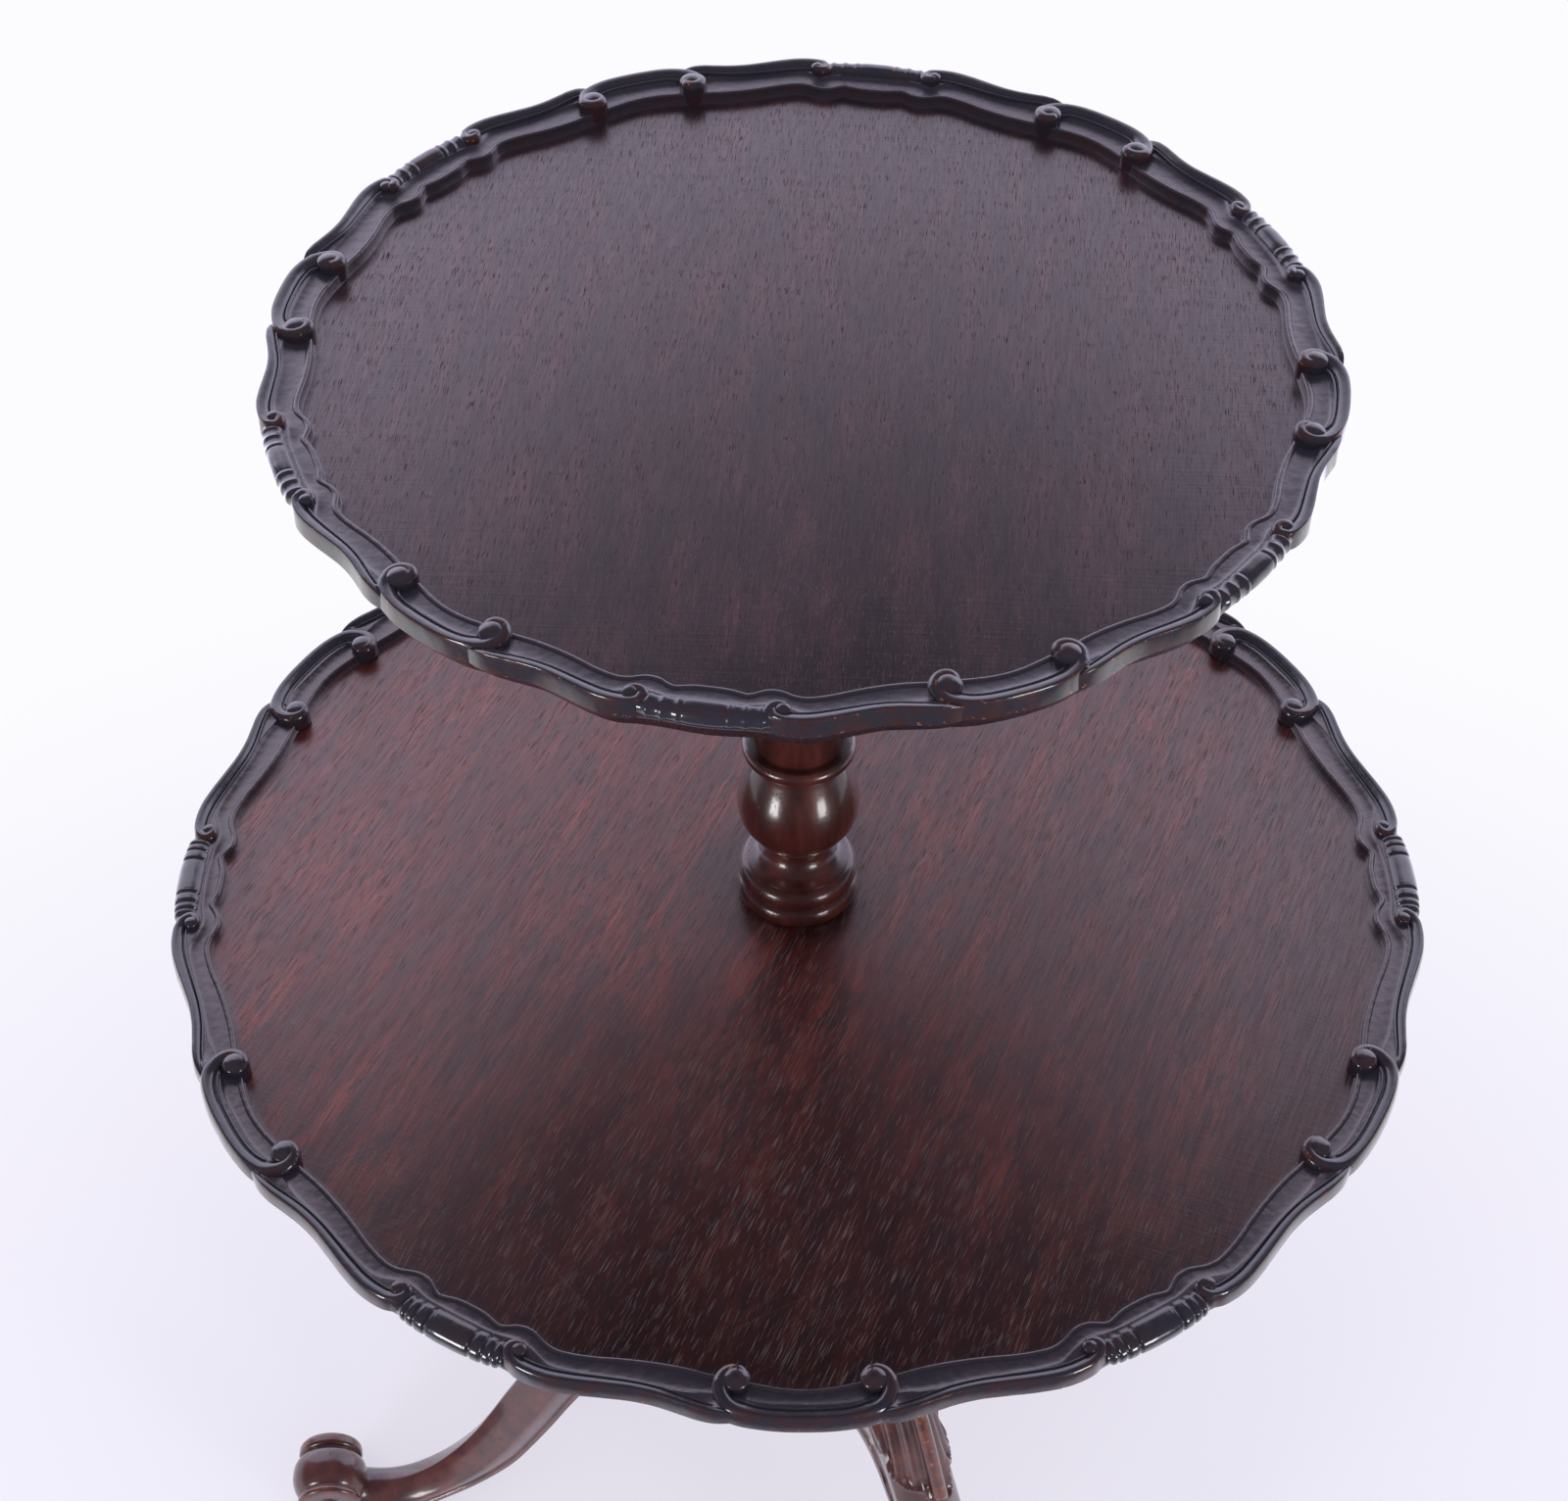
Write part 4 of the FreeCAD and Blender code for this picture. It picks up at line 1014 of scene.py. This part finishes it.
@dataclass
class TurnedStem:
    """The pillar below the lower tray and the stem between the trays."""

    finish: Mahogany
    pillar_base: float = 182.0   # heights above the floor
    flange_top: float = 520.2
    stem_base: float = 553.8
    lower_pin: float = 13.0      # radii of the pins that the trays turn on
    upper_pin: float = 10.0
    tenon: float = 10.0          # radius of the pillar's tenon, and how far it stands up
    tenon_length: float = 42.0
    socket: float = 10.4         # radius of the stem's socket round it, and its depth
    socket_depth: float = 43.0
    shoulder: float = 279.4      # of the stem below the upper pin, above the stem's base
    pin_top: float = 297.4
    core: float = 0.5            # radius at which a turned end closes

    def build(self) -> None:
        """Makes the two turned pieces, with the pins that the trays turn on."""
        wood = self.finish.build()
        flange = self.flange_top - self.pillar_base
        pin = self.stem_base - self.pillar_base
        end = pin + self.tenon_length
        pillar = moulded(PILLAR)
        pillar += [(self.lower_pin, flange), (self.lower_pin, pin), (self.tenon, pin),
                   (self.tenon, end), (self.core, end)]
        make_piece("pillar_turned", [turned_net(pillar, self.pillar_base)], wood, "stand",
                   ["lower_pillar"], crease=50)
        stem = [(self.socket, 0.0)] + moulded(STEM)
        stem += [(self.upper_pin, self.shoulder), (self.upper_pin, self.pin_top),
                 (self.core, self.pin_top), (self.core, self.socket_depth),
                 (self.socket, self.tenon_length)]
        net = turned_net(stem, self.stem_base)
        net.ring = True
        make_piece("stem_turned", [net], wood, "stand", ["upper_pillar"],
                   crease=50)


# ---------------------------------------------------------------- legs
# Stations down the leg: upper line (distance, height), lower line (distance, height), half width.
LEG = (
    (34.5, 269.0, 34.5, 182.2, 12.4), (50, 273.6, 50, 182.0, 12.4), (72, 272.4, 68, 182.0, 12.8),
    (93, 264.6, 82, 182.4, 13.4), (108, 250.6, 93, 179.0, 14.0), (119, 232, 104, 169.5, 14.4),
    (129, 209.5, 113, 157.5, 14.6), (137.5, 188, 122.5, 143.0, 14.6),
    (148.5, 162, 134, 124.5, 14.6), (161.5, 136.6, 146, 103.0, 14.3),
    (174, 113.4, 158, 82.5, 13.6), (184, 94, 169.5, 64.5, 12.9), (194.5, 75.5, 181.5, 51.0, 12.3),
    (208, 57, 197.5, 37.5, 12.0), (224, 41, 215, 26.5, 12.2), (240, 32.2, 234, 16.0, 12.8),
    (252, 31, 252, 7.2, 14.0),
    (261, 33.5, 268, 1.6, 15.0), (268, 39, 283, 0.7, 15.4), (276, 43, 295, 7.0, 15.4),
    (286, 44, 301, 22.0, 15.0),
)
# Where the knee's leaf ends down the leg, at distances round the section from the ridge.
LEAF_END = ((-60, 10), (-40, 30), (-38, 84), (-34, 97), (-28, 109), (-20, 118.5), (-14.5, 124),
            (-13.5, 130), (-10, 136.5), (-4, 139.5), (2, 138.5), (6.5, 134), (9, 127.5),
            (14, 123), (20, 118), (28, 109), (34, 97), (38, 84), (40, 30), (60, 10))
BACK_LOBE_END = ((-60, 10), (-49, 40), (-46, 76), (-40, 87), (-30, 90), (30, 90), (40, 87),
                 (46, 76), (49, 40), (60, 10))
# The toe's turning: radius, and distance across the leg from its middle.
TOE = (
    (0.3, -20.4), (12.0, -20.5), (16.5, -20.2), (18.3, -19.4), (19.0, -18.0), (19.2, -15.5),
    (19.1, -13.6), (18.3, -12.4), (17.0, -11.6), (17.1, -10.9), (19.0, -9.4), (20.8, -7.4),
    (22.0, -4.4), (22.5, -0.4), (22.4, 3.6), (21.5, 7.4), (20.1, 10.6), (18.5, 13.1),
    (17.4, 14.6), (17.6, 15.4), (18.6, 16.4), (19.0, 17.6), (18.9, 19.0), (18.0, 20.1),
    (16.4, 20.4), (12.0, 20.3), (9.2, 20.0), (8.2, 19.2), (7.0, 19.1), (5.8, 19.9),
    (4.4, 20.3), (0.3, 20.4),
)


@dataclass
class CabrioleLeg:
    """One leg: a cabriole with a carved leaf on its knee, ending in a scroll toe."""

    node: str
    angle: float                 # direction of the leg in degrees
    eye: tuple[float, float] = (284.3, 39.0)     # of the toe: distance from the axis, height
    shoulder: float = 0.27       # how much wider the section is above its middle
    strip_proud: float = 1.1     # how far the strip along each lower edge stands out
    flute: float = 12.5          # from one flute of the leaf to the next

    def section(self, sharp: Array) -> tuple[Array, Array, Array]:
        """The leg's section at each row, right round from the middle of its underside.

        x is in half widths and y runs from -1 to 1. The flank widens smoothly with its
        height up to the shoulder at 0. Above it, at y = s, the top is an arch where the leg
        is round, x = (1 - s^2)^0.58, and a ridge where it is sharp, x = (1 - s^1.35)^0.88.

        Args:
            sharp: how sharp the ridge is in each row, from 0 to 1.

        Returns:
            x without the shoulder, shape (rows, columns), then y and the shoulder's share.
        """
        q = np.linspace(0, 1, 34)
        s = np.sin(np.radians(np.linspace(0, 90, 30)))[1:]
        y = np.concatenate([[-1, -1, -1, -1], -1 + q ** 1.35, s])
        low = np.concatenate([[0, 0.4, 0.75, 0.94], np.ones(34)])
        arch = np.concatenate([low, (1 - s ** 2).clip(0) ** 0.58])
        ridge = np.concatenate([low, (1 - s ** 1.35).clip(0) ** 0.88])
        arch, ridge = (np.append(half, -half[-2:0:-1]) for half in (arch, ridge))
        y = np.append(y, y[-2:0:-1])
        x = arch + (ridge - arch) * sharp[:, None]
        return x, y, soft_step(0, 1.0, y + 1)

    def body_net(self) -> Net:
        """The leg's body: a shouldered section carried from the pillar to the toe.

        A station's section lies between a point of the upper line and one of the lower line,
        and a flat strip stands along each lower edge. The leaf is added outwards.
        """
        table = np.array(LEG, float)
        mid = (table[:, :2] + table[:, 2:4]) / 2
        path = even_path(np.column_stack([mid, table]), 430)
        top, bottom, half = path[:, 2:4], path[:, 4:6], path[:, 6]
        run = np.concatenate([[0], np.cumsum(np.hypot(*np.diff(path[:, :2], axis=0).T))])
        left = run[-1] - run
        x, y, share = self.section(soft_step(30, 90, left) * soft_step(20, 60, run))
        tall = np.hypot(*(top - bottom).T)[:, None]
        wide = self.shoulder * soft_step(15, 60, run) * soft_step(40, 130, left)
        side = half[:, None] * x * (1 + wide[:, None] * share)
        above = (y + 1) / 2 * tall
        strip_width = np.interp(run, [50, 130, 300], [5.2, 4.4, 2.8])[:, None]
        strip = 1 - soft_step(-0.5, 0.5, above - strip_width)
        ends = soft_step(20, 50, run) * soft_step(20, 60, left)
        flank = np.abs(x) > 0.97
        side = side + np.sign(x) * flank * self.strip_proud * strip * ends[:, None]
        place = bottom[:, None, :] + (top - bottom)[:, None, :] * ((y + 1) / 2)[:, None]
        points = np.stack([place[..., 0], side, place[..., 1]], -1)
        around = np.roll(points, -1, 1) - np.roll(points, 1, 1)
        normal = np.cross(around, np.gradient(points, axis=0))
        normal /= np.linalg.norm(normal, axis=2, keepdims=True)
        middle = points.mean(axis=1, keepdims=True)
        flip = np.sign(((points - middle) * normal).sum(axis=2, keepdims=True))
        ridge = int(np.argmax(y))
        steps = np.linalg.norm(np.diff(points, axis=1), axis=2)
        along = np.concatenate([0 * run[:, None], np.cumsum(steps, axis=1)], axis=1)
        leaf, worn = self.leaf(run[:, None], along - along[:, ridge:ridge + 1])
        edge = strip * flank * soft_step(1.5, 0.2, np.abs(above - strip_width))
        points = points + normal * np.where(flip == 0, 1, flip) * leaf[..., None]
        worn = np.clip(worn + 0.5 * edge, 0, 1)
        return Net(points, values={"rim": 0 * worn, "worn": worn}).turned(self.angle)

    def leaf(self, run: Array, round_ridge: Array) -> tuple[Array, Array]:
        """How far the knee's leaf stands out, and where it is rubbed.

        The leaf covers what lies above its end line. Inside it a rib follows the ridge with
        flutes beside it, a lip follows the outline, and one drop hangs below its point.

        Args:
            run: distance along the leg of each row, in millimetres.
            round_ridge: distance of each point from the ridge, round the section.

        Returns:
            Height in millimetres and wear, each shape (rows, columns).
        """
        height = 0 * round_ridge
        for table, rise in ((BACK_LOBE_END, 1.2), (LEAF_END, 2.3)):
            place, end = np.array(table, float).T
            slope = np.abs(np.interp(round_ridge, place, np.gradient(end, place)))
            inside = (np.interp(round_ridge, place, end) - run) / np.sqrt(1 + slope ** 2)
            lip = 0.8 * np.exp(-((inside - 1.4) / 1.0) ** 2)
            height = np.maximum(height, soft_step(0.0, 1.1, inside) * rise + lip)
        within = soft_step(2.0, 5.0, inside)
        rib = 2.0 * np.exp(-(round_ridge / 3.8) ** 2)
        flutes = 1.2 * (np.cos(2 * np.pi * round_ridge / self.flute) - 1)
        height = height + within * (rib + flutes * soft_step(3, 5, np.abs(round_ridge)))
        drop = 1.5 * np.exp(-((run - 147) / 3.2) ** 2 - ((round_ridge + 4) / 2.4) ** 2)
        height = height * soft_step(30, 55, run) + drop
        return height, soft_step(2.6, 4.2, height)

    def toe_net(self) -> Net:
        """The scroll toe: a turned roll across the leg, with a ringed disc on each face."""
        path = even_path(np.array(TOE, float), 190)
        t = np.linspace(0, 2 * np.pi, 96, endpoint=False)
        x = self.eye[0] + path[:, :1] * np.cos(t)
        z = self.eye[1] + path[:, :1] * np.sin(t)
        y = np.broadcast_to(path[:, 1:2], x.shape)
        rim = soft_step(17.9, 18.9, path[:, :1]) * soft_step(14.5, 17.0, np.abs(path[:, 1:2]))
        worn = np.clip(0.15 + 0.85 * rim, 0, 1) + 0 * x
        roll = Net(np.stack([x, y, z], -1), values={"rim": 0 * x, "worn": worn})
        return roll.turned(self.angle)

    def build(self, wood: bpy.types.Material) -> None:
        """Makes the leg's two pieces."""
        for part, net in (("body", self.body_net()), ("toe_roll", self.toe_net())):
            make_piece(f"{self.node}_{part}", [net], wood, "stand", [self.node],
                       crease=50)


# ---------------------------------------------------------------- hidden metalwork
@dataclass(frozen=True)
class Fittings:
    """Screws, washers and the iron plate: the CAD nodes stay and take a metal finish."""

    iron: Metal
    steel: Metal
    brass: Metal

    def build(self) -> None:
        """Gives each metal node its finish."""
        groups = (
            (self.iron, ("spider_plate",)),
            (self.steel, ("spider_screws", "lower_bearer_screws", "upper_bearer_screws",
                          "keeper_screw")),
            (self.brass, ("lower_washer", "upper_washer", "keeper_washer")),
        )
        for finish, nodes in groups:
            material = finish.build()
            for node in nodes:
                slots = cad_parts[node].data.materials
                slots.clear()
                slots.append(material)
                log.info("%s: %s", node, finish.name)


# ---------------------------------------------------------------- room, lamps and camera
@dataclass(frozen=True)
class Lamp:
    """A soft rectangular lamp that faces a point."""

    name: str
    place: tuple[float, float, float]
    size: tuple[float, float]
    power: float
    mirrored: bool = True        # False keeps a wide lamp out of the polish
    aim: tuple[float, float, float] = (0.0, 0.0, 0.6)

    def build(self) -> None:
        """Adds the lamp."""
        data = bpy.data.lights.new(self.name, "AREA")
        data.shape = "RECTANGLE"
        data.size, data.size_y = self.size
        data.energy = self.power
        lamp = placed(self.name, data)
        lamp.location = self.place
        lamp.visible_glossy = self.mirrored
        lamp.rotation_euler = look(np.array(self.aim) - np.array(self.place)).to_euler()


def look(forward: Array, roll: float = 0.0) -> Matrix:
    """Rotation of a camera or lamp that faces along forward, with level sides before roll."""
    f = np.array(forward, float) / np.linalg.norm(forward)
    right = np.cross(f, [0, 0, 1.0])
    right = right / np.linalg.norm(right)
    up = np.cross(right, f)
    c, s = math.cos(roll), math.sin(roll)
    side, top = c * right + s * up, c * up - s * right
    return Matrix([[side[i], top[i], -f[i]] for i in range(3)])


def in_polish(tree: bpy.types.NodeTree, path: Any) -> Any:
    """1 for what a polish or a clear piece shows and 0 for all else, from a Light Path."""
    return add(tree, "Math", [path.outputs["Is Glossy Ray"],
                              path.outputs["Is Transmission Ray"]], operation="MAXIMUM")


@dataclass(frozen=True)
class Studio:
    """Pale floor, white surroundings, a white paper screen, soft lamps and the camera."""

    lamps: tuple[Lamp, ...]
    floor: str = "#efecf8"
    paper: str = "#fcfcff"
    mirrored: str = "#e8e5ff"    # the room's colour in the polish
    screen_distance: float = 0.75
    screen_fade: tuple[float, float] = (1.18, 1.68)    # heights between which it darkens
    screen_light: float = 1.5
    ceiling: float = 0.08        # how bright the rest of the room looks in the polish
    light: float = 0.82          # how strongly the room lights the table
    even: float = 0.5            # share of the near floor's brightness that takes no shadow
    camera_place: tuple[float, float, float] = (0.0, -0.8574, 1.5036)
    camera_turn: tuple[float, float, float] = (0.7859, -0.0079, 0.0039)
    lens_mm: float = 60.84
    floor_reach: float = 9.0
    screen_half: float = 1.6     # half width of the screen

    def build(self) -> None:
        """Makes the room."""
        self.build_floor()
        self.build_screen()
        self.build_world()
        for lamp in self.lamps:
            lamp.build()
        self.build_camera()
        bpy.context.scene.view_settings.view_transform = "Standard"

    def build_camera(self) -> None:
        """Adds the camera: it looks along its yaw from +Y, down by its pitch, then rolls."""
        pitch, yaw, roll = self.camera_turn
        forward = (math.sin(yaw) * math.cos(pitch), math.cos(yaw) * math.cos(pitch),
                   -math.sin(pitch))
        data = bpy.data.cameras.new("camera")
        data.lens = self.lens_mm
        data.sensor_width = SENSOR_MM
        data.sensor_fit = "HORIZONTAL"
        data.clip_start, data.clip_end = 0.05, 100
        camera = placed("camera", data)
        camera.location = self.camera_place
        camera.rotation_euler = look(np.array(forward), roll).to_euler()
        bpy.context.scene.camera = camera

    def sheet(self, name: str, corners: Sequence[tuple[float, float, float]],
              material: bpy.types.Material) -> bpy.types.Object:
        """A flat four-cornered stage piece, which isn't part of the table."""
        mesh = bpy.data.meshes.new(name)
        mesh.from_pydata(corners, [], [(0, 1, 2, 3)])
        mesh.materials.append(material)
        piece = placed(name, mesh)
        return piece

    def build_floor(self) -> None:
        """A large pale floor that takes the table's soft shadow and turns white far out.

        The polish mirrors it too, and the dark end of the room where it ends in front.
        """
        reach = self.floor_reach
        material, tree = blank_material("floor_paper")
        place = add(tree, "TexCoord").outputs["Object"]
        distance = add(tree, "VectorMath", [place, (0.0, -0.25, 0.0)], operation="DISTANCE")
        far = add(tree, "MapRange", [distance, 0.5, 1.2], interpolation_type="SMOOTHSTEP")
        path = add(tree, "LightPath")
        glossy = in_polish(tree, path)
        depth = add(tree, "SeparateXYZ", [place]).outputs["Y"]
        front = add(tree, "MapRange", [depth, -0.30, -0.75])
        front = add(tree, "Math", [front, glossy], operation="MULTIPLY")
        seen = add(tree, "Math", [path.outputs["Is Camera Ray"], glossy], operation="MAXIMUM")
        share = add(tree, "MapRange", [far, 0.0, 1.0, self.even, 1.0])
        share = add(tree, "Math", [share, seen], operation="MULTIPLY")
        share = add(tree, "Math", [share, front], operation="MAXIMUM")
        bright = add(tree, "MapRange", [front, 0.0, 1.0, 1.0, self.ceiling])
        paper = add(tree, "BsdfPrincipled", {"Base Color": linear(self.floor),
                                             "Roughness": 0.85})
        colour = add(tree, "Mix", {0: far, 6: linear(self.floor), 7: linear(self.paper)},
                     **COLOURS)
        white = add(tree, "Emission", [colour, bright])
        both = add(tree, "MixShader", [share, paper, white])
        add(tree, "OutputMaterial", [both])
        self.sheet("floor", [(-reach, -reach, 0), (reach, -reach, 0), (reach, reach, 0),
                             (-reach, reach, 0)], material)

    def build_screen(self) -> None:
        """White paper behind the table, which only its polish sees.

        It fades out above, from a height that rises to the sides by 1.8 times the square of
        the distance from a line just right of the middle, and by 0.3 at most. It is up to
        1.3 times as bright at the sides.
        """
        material, tree = blank_material("screen_paper")
        place = add(tree, "TexCoord").outputs["Object"]
        spot = add(tree, "SeparateXYZ", [place])
        side = add(tree, "Math", [spot.outputs["X"], 0.04], operation="SUBTRACT")
        side = add(tree, "Math", [side, 2.0], operation="POWER")
        lift = add(tree, "MapRange", [side, 0.0, 0.17, 0.0, 0.3])
        height = add(tree, "Math", [spot.outputs["Z"], lift], operation="SUBTRACT")
        glow = add(tree, "MapRange", [height, *self.screen_fade, self.screen_light,
                                      self.ceiling])
        sides = add(tree, "MapRange", [side, 0.02, 0.25, 1.0, 1.3])
        glow = add(tree, "Math", [glow, sides], operation="MULTIPLY")
        add(tree, "OutputMaterial", [add(tree, "Emission", [linear(self.mirrored), glow])])
        y, half, top = self.screen_distance, self.screen_half, self.screen_fade[1] + 0.3
        screen = self.sheet("screen", [(-half, y, 0.0), (half, y, 0.0), (half, y, top),
                                       (-half, y, top)], material)
        screen.visible_camera = screen.visible_diffuse = screen.visible_shadow = False

    def build_world(self) -> None:
        """White for the eye, and a plain light on the table.

        The polish mirrors it white low down behind the table, and dark above and in front,
        where the unlit end of the room is.
        """
        world = bpy.data.worlds.new("surroundings")
        world.use_nodes = True
        tree = world.node_tree
        tree.nodes.clear()
        path = add(tree, "LightPath")
        way = add(tree, "SeparateXYZ", [add(tree, "TexCoord").outputs["Generated"]])
        low = add(tree, "MapRange", [way.outputs["Z"], 0.0, 0.25, 1.0, self.ceiling])
        back = add(tree, "MapRange", [way.outputs["Y"], -0.45, 0.15])
        mirrored = add(tree, "Mix", {0: back, 2: self.ceiling, 3: low}, **NUMBERS)
        glossy = in_polish(tree, path)
        lit = add(tree, "Mix", {0: glossy, 2: self.light, 3: mirrored}, **NUMBERS)
        strength = add(tree, "Mix", {0: path.outputs["Is Camera Ray"], 2: lit, 3: 1.0}, **NUMBERS)
        colour = add(tree, "Mix", {0: glossy, 6: linear(self.paper), 7: linear(self.mirrored)},
                     **COLOURS)
        add(tree, "OutputWorld", [add(tree, "Background", [colour, strength])])
        bpy.context.scene.world = world


# ---------------------------------------------------------------- the table
def finishes() -> dict[str, Mahogany]:
    """The table's wood finishes by name."""
    upper = Grain(turn_z=5.0)
    lower = Grain(turn_z=23.0)
    carving = {f"{tier}_carving": Mahogany(
        f"{tier}_carving_mahogany", "#120e10", "#171214", "#1c1416", "#0c090a", grain,
        Wear.CARVED, polish=1.0, polish_roughness=0.11, shellac_ior=1.62, wood_gloss=0.3,
        bump=0.00006) for tier, grain in (("upper", upper), ("lower", lower))}
    return {
        **carving,
        "upper_board": Mahogany(
            "upper_board_mahogany", "#1f171b", "#2b1b21", "#40242a", "#151012", upper,
            Wear.FIELD, streak_mm=(11.0, 60.0), fibre_mm=(0.7, 13.0), pore_mm=(0.4, 8.0),
            pore_from=0.605, pore_depth=0.5, fibre=0.6, roughness=(0.27, 0.34), polish=1.0,
            polish_roughness=0.25, fibre_sheen="#ffccd4", shellac_ior=1.54, bump=0.0001,
            # Painted light: lighter and redder towards 150 degrees, a little darker opposite.
            field_radius=0.202, painted_side_light=(150.0, 1.15, 0.9)),
        "lower_board": Mahogany(
            # The pale grey pore colour is partly pale filler in the pores and partly painted
            # highlight, the glint of pores in the dark reflection.
            "lower_board_mahogany", "#3a1619", "#4d1f1e", "#6a2c24", "#544c4e", lower,
            Wear.FIELD, streak_mm=(14.0, 100.0), fibre_mm=(0.8, 26.0),
            blotch=Blotch("#261a1e", 7.0, 30.0, 0.8, low=0.50, high=0.57), pore_mm=(0.45, 11.0),
            pore_from=0.60, pore_depth=0.7, fibre=0.6, roughness=(0.27, 0.35), polish=1.0,
            polish_roughness=0.25, fibre_sheen="#ffccc2", shellac_ior=1.6,
            # Painted shade round the stem's foot, and painted light: lighter and redder towards
            # 140 degrees, darker opposite.
            field_radius=0.277, foot_radius=0.030, painted_side_light=(140.0, 1.9, 0.6),
            # Painted shade: a darker patch towards the front.
            painted_shade_patch=(-0.08, -0.19, 0.21, 0.5)),
        "turned": Mahogany(
            "turned_mahogany", "#2c1110", "#401b18", "#542620", "#180a08",
            Grain(turn_x=90.0), Wear.SHAPED, streak_mm=(12.0, 90.0), pore_from=0.66,
            pore_depth=0.5, fibre=0.25, roughness=(0.24, 0.32), polish=0.9,
            polish_roughness=0.13, bump=0.00005, lathe=0.8),
        "leg": Mahogany(
            "leg_mahogany", "#3a1d1e", "#4b2728", "#5c302d", "#1c0c0a",
            Grain(turn_x=50.0), Wear.SHAPED, streak_mm=(12.0, 90.0), pore_from=0.64,
            pore_depth=0.5, fibre=0.3, roughness=(0.28, 0.38), polish=0.9,
            polish_roughness=0.14, rubbed="#6e3620", bump=0.00006),
        "bearer": Mahogany(
            "bearer_stained", "#2a130c", "#3a1c12", "#4a2618", "#160b08", Grain(),
            Wear.SHAPED, roughness=(0.5, 0.65), polish=0.05),
    }


def main() -> None:
    """Builds the table and its room, in order."""
    logging.basicConfig(level=logging.INFO, format="%(name)s: %(message)s")
    wood = finishes()
    upper = PiecrustTray(
        "upper", "upper_tier", rim_top=875.0, pattern_radius=209.6, start_angle=-98.85,
        thickness=16.0, dish_depth=9.0, bevel_run=4.5, bore=0.0,
        pattern=RimPattern(UPPER_VOLUTE, UPPER_HOOK, UPPER_KNOBS, UPPER_BOSS, inner_shift=-0.020,
                           boss_stretch=0.30, bead_scale=0.86, relief=0.9, lean=0.30),
        bearer=(62.0, 835.0), pin_bore=10.4, board_finish=wood["upper_board"],
        carving_finish=wood["upper_carving"], bearer_finish=wood["bearer"],
        slot="upper_tray_mahogany")
    lower = PiecrustTray(
        "lower", "lower_tier", rim_top=563.0, pattern_radius=PATTERN_SIZE, start_angle=-118.96,
        thickness=17.0, dish_depth=9.5, bevel_run=6.0, bore=14.0,
        pattern=RimPattern(LOWER_VOLUTE, LOWER_HOOK, LOWER_KNOBS, LOWER_BOSS, inner_shift=-0.005,
                           boss_stretch=0.0, bead_scale=1.0, relief=1.0, lean=0.15),
        bearer=(80.0, 522.0), pin_bore=13.4, board_finish=wood["lower_board"],
        carving_finish=wood["lower_carving"], bearer_finish=wood["bearer"],
        slot="lower_tray_mahogany")
    for tray in (upper, lower):
        tray.build()
    TurnedStem(wood["turned"]).build()
    leg_wood = wood["leg"].build()
    for node, angle in (("leg_left", -174.5), ("leg_front", -54.5), ("leg_back", 65.5)):
        CabrioleLeg(node, angle).build(leg_wood)
    Fittings(Metal("blacked_iron", "#141312", "#2b2826", 0.7, (0.45, 0.65)),
             Metal("dull_steel", "#5a5650", "#8c877e", 1.0, (0.35, 0.55)),
             Metal("worn_brass", "#7a5a28", "#b08d4a", 1.0, (0.3, 0.45))).build()
    Studio((
        Lamp("left_softbox", (-1.35, -1.45, 0.52), (0.5, 0.55), power=13.0),
        Lamp("right_softbox", (1.35, -1.45, 0.52), (0.5, 0.55), power=11.0),
        Lamp("overhead_softbox", (0.0, -1.6, 4.6), (3.4, 2.4), power=60.0, mirrored=False),
    )).build()


if __name__ == "__main__":
    main()
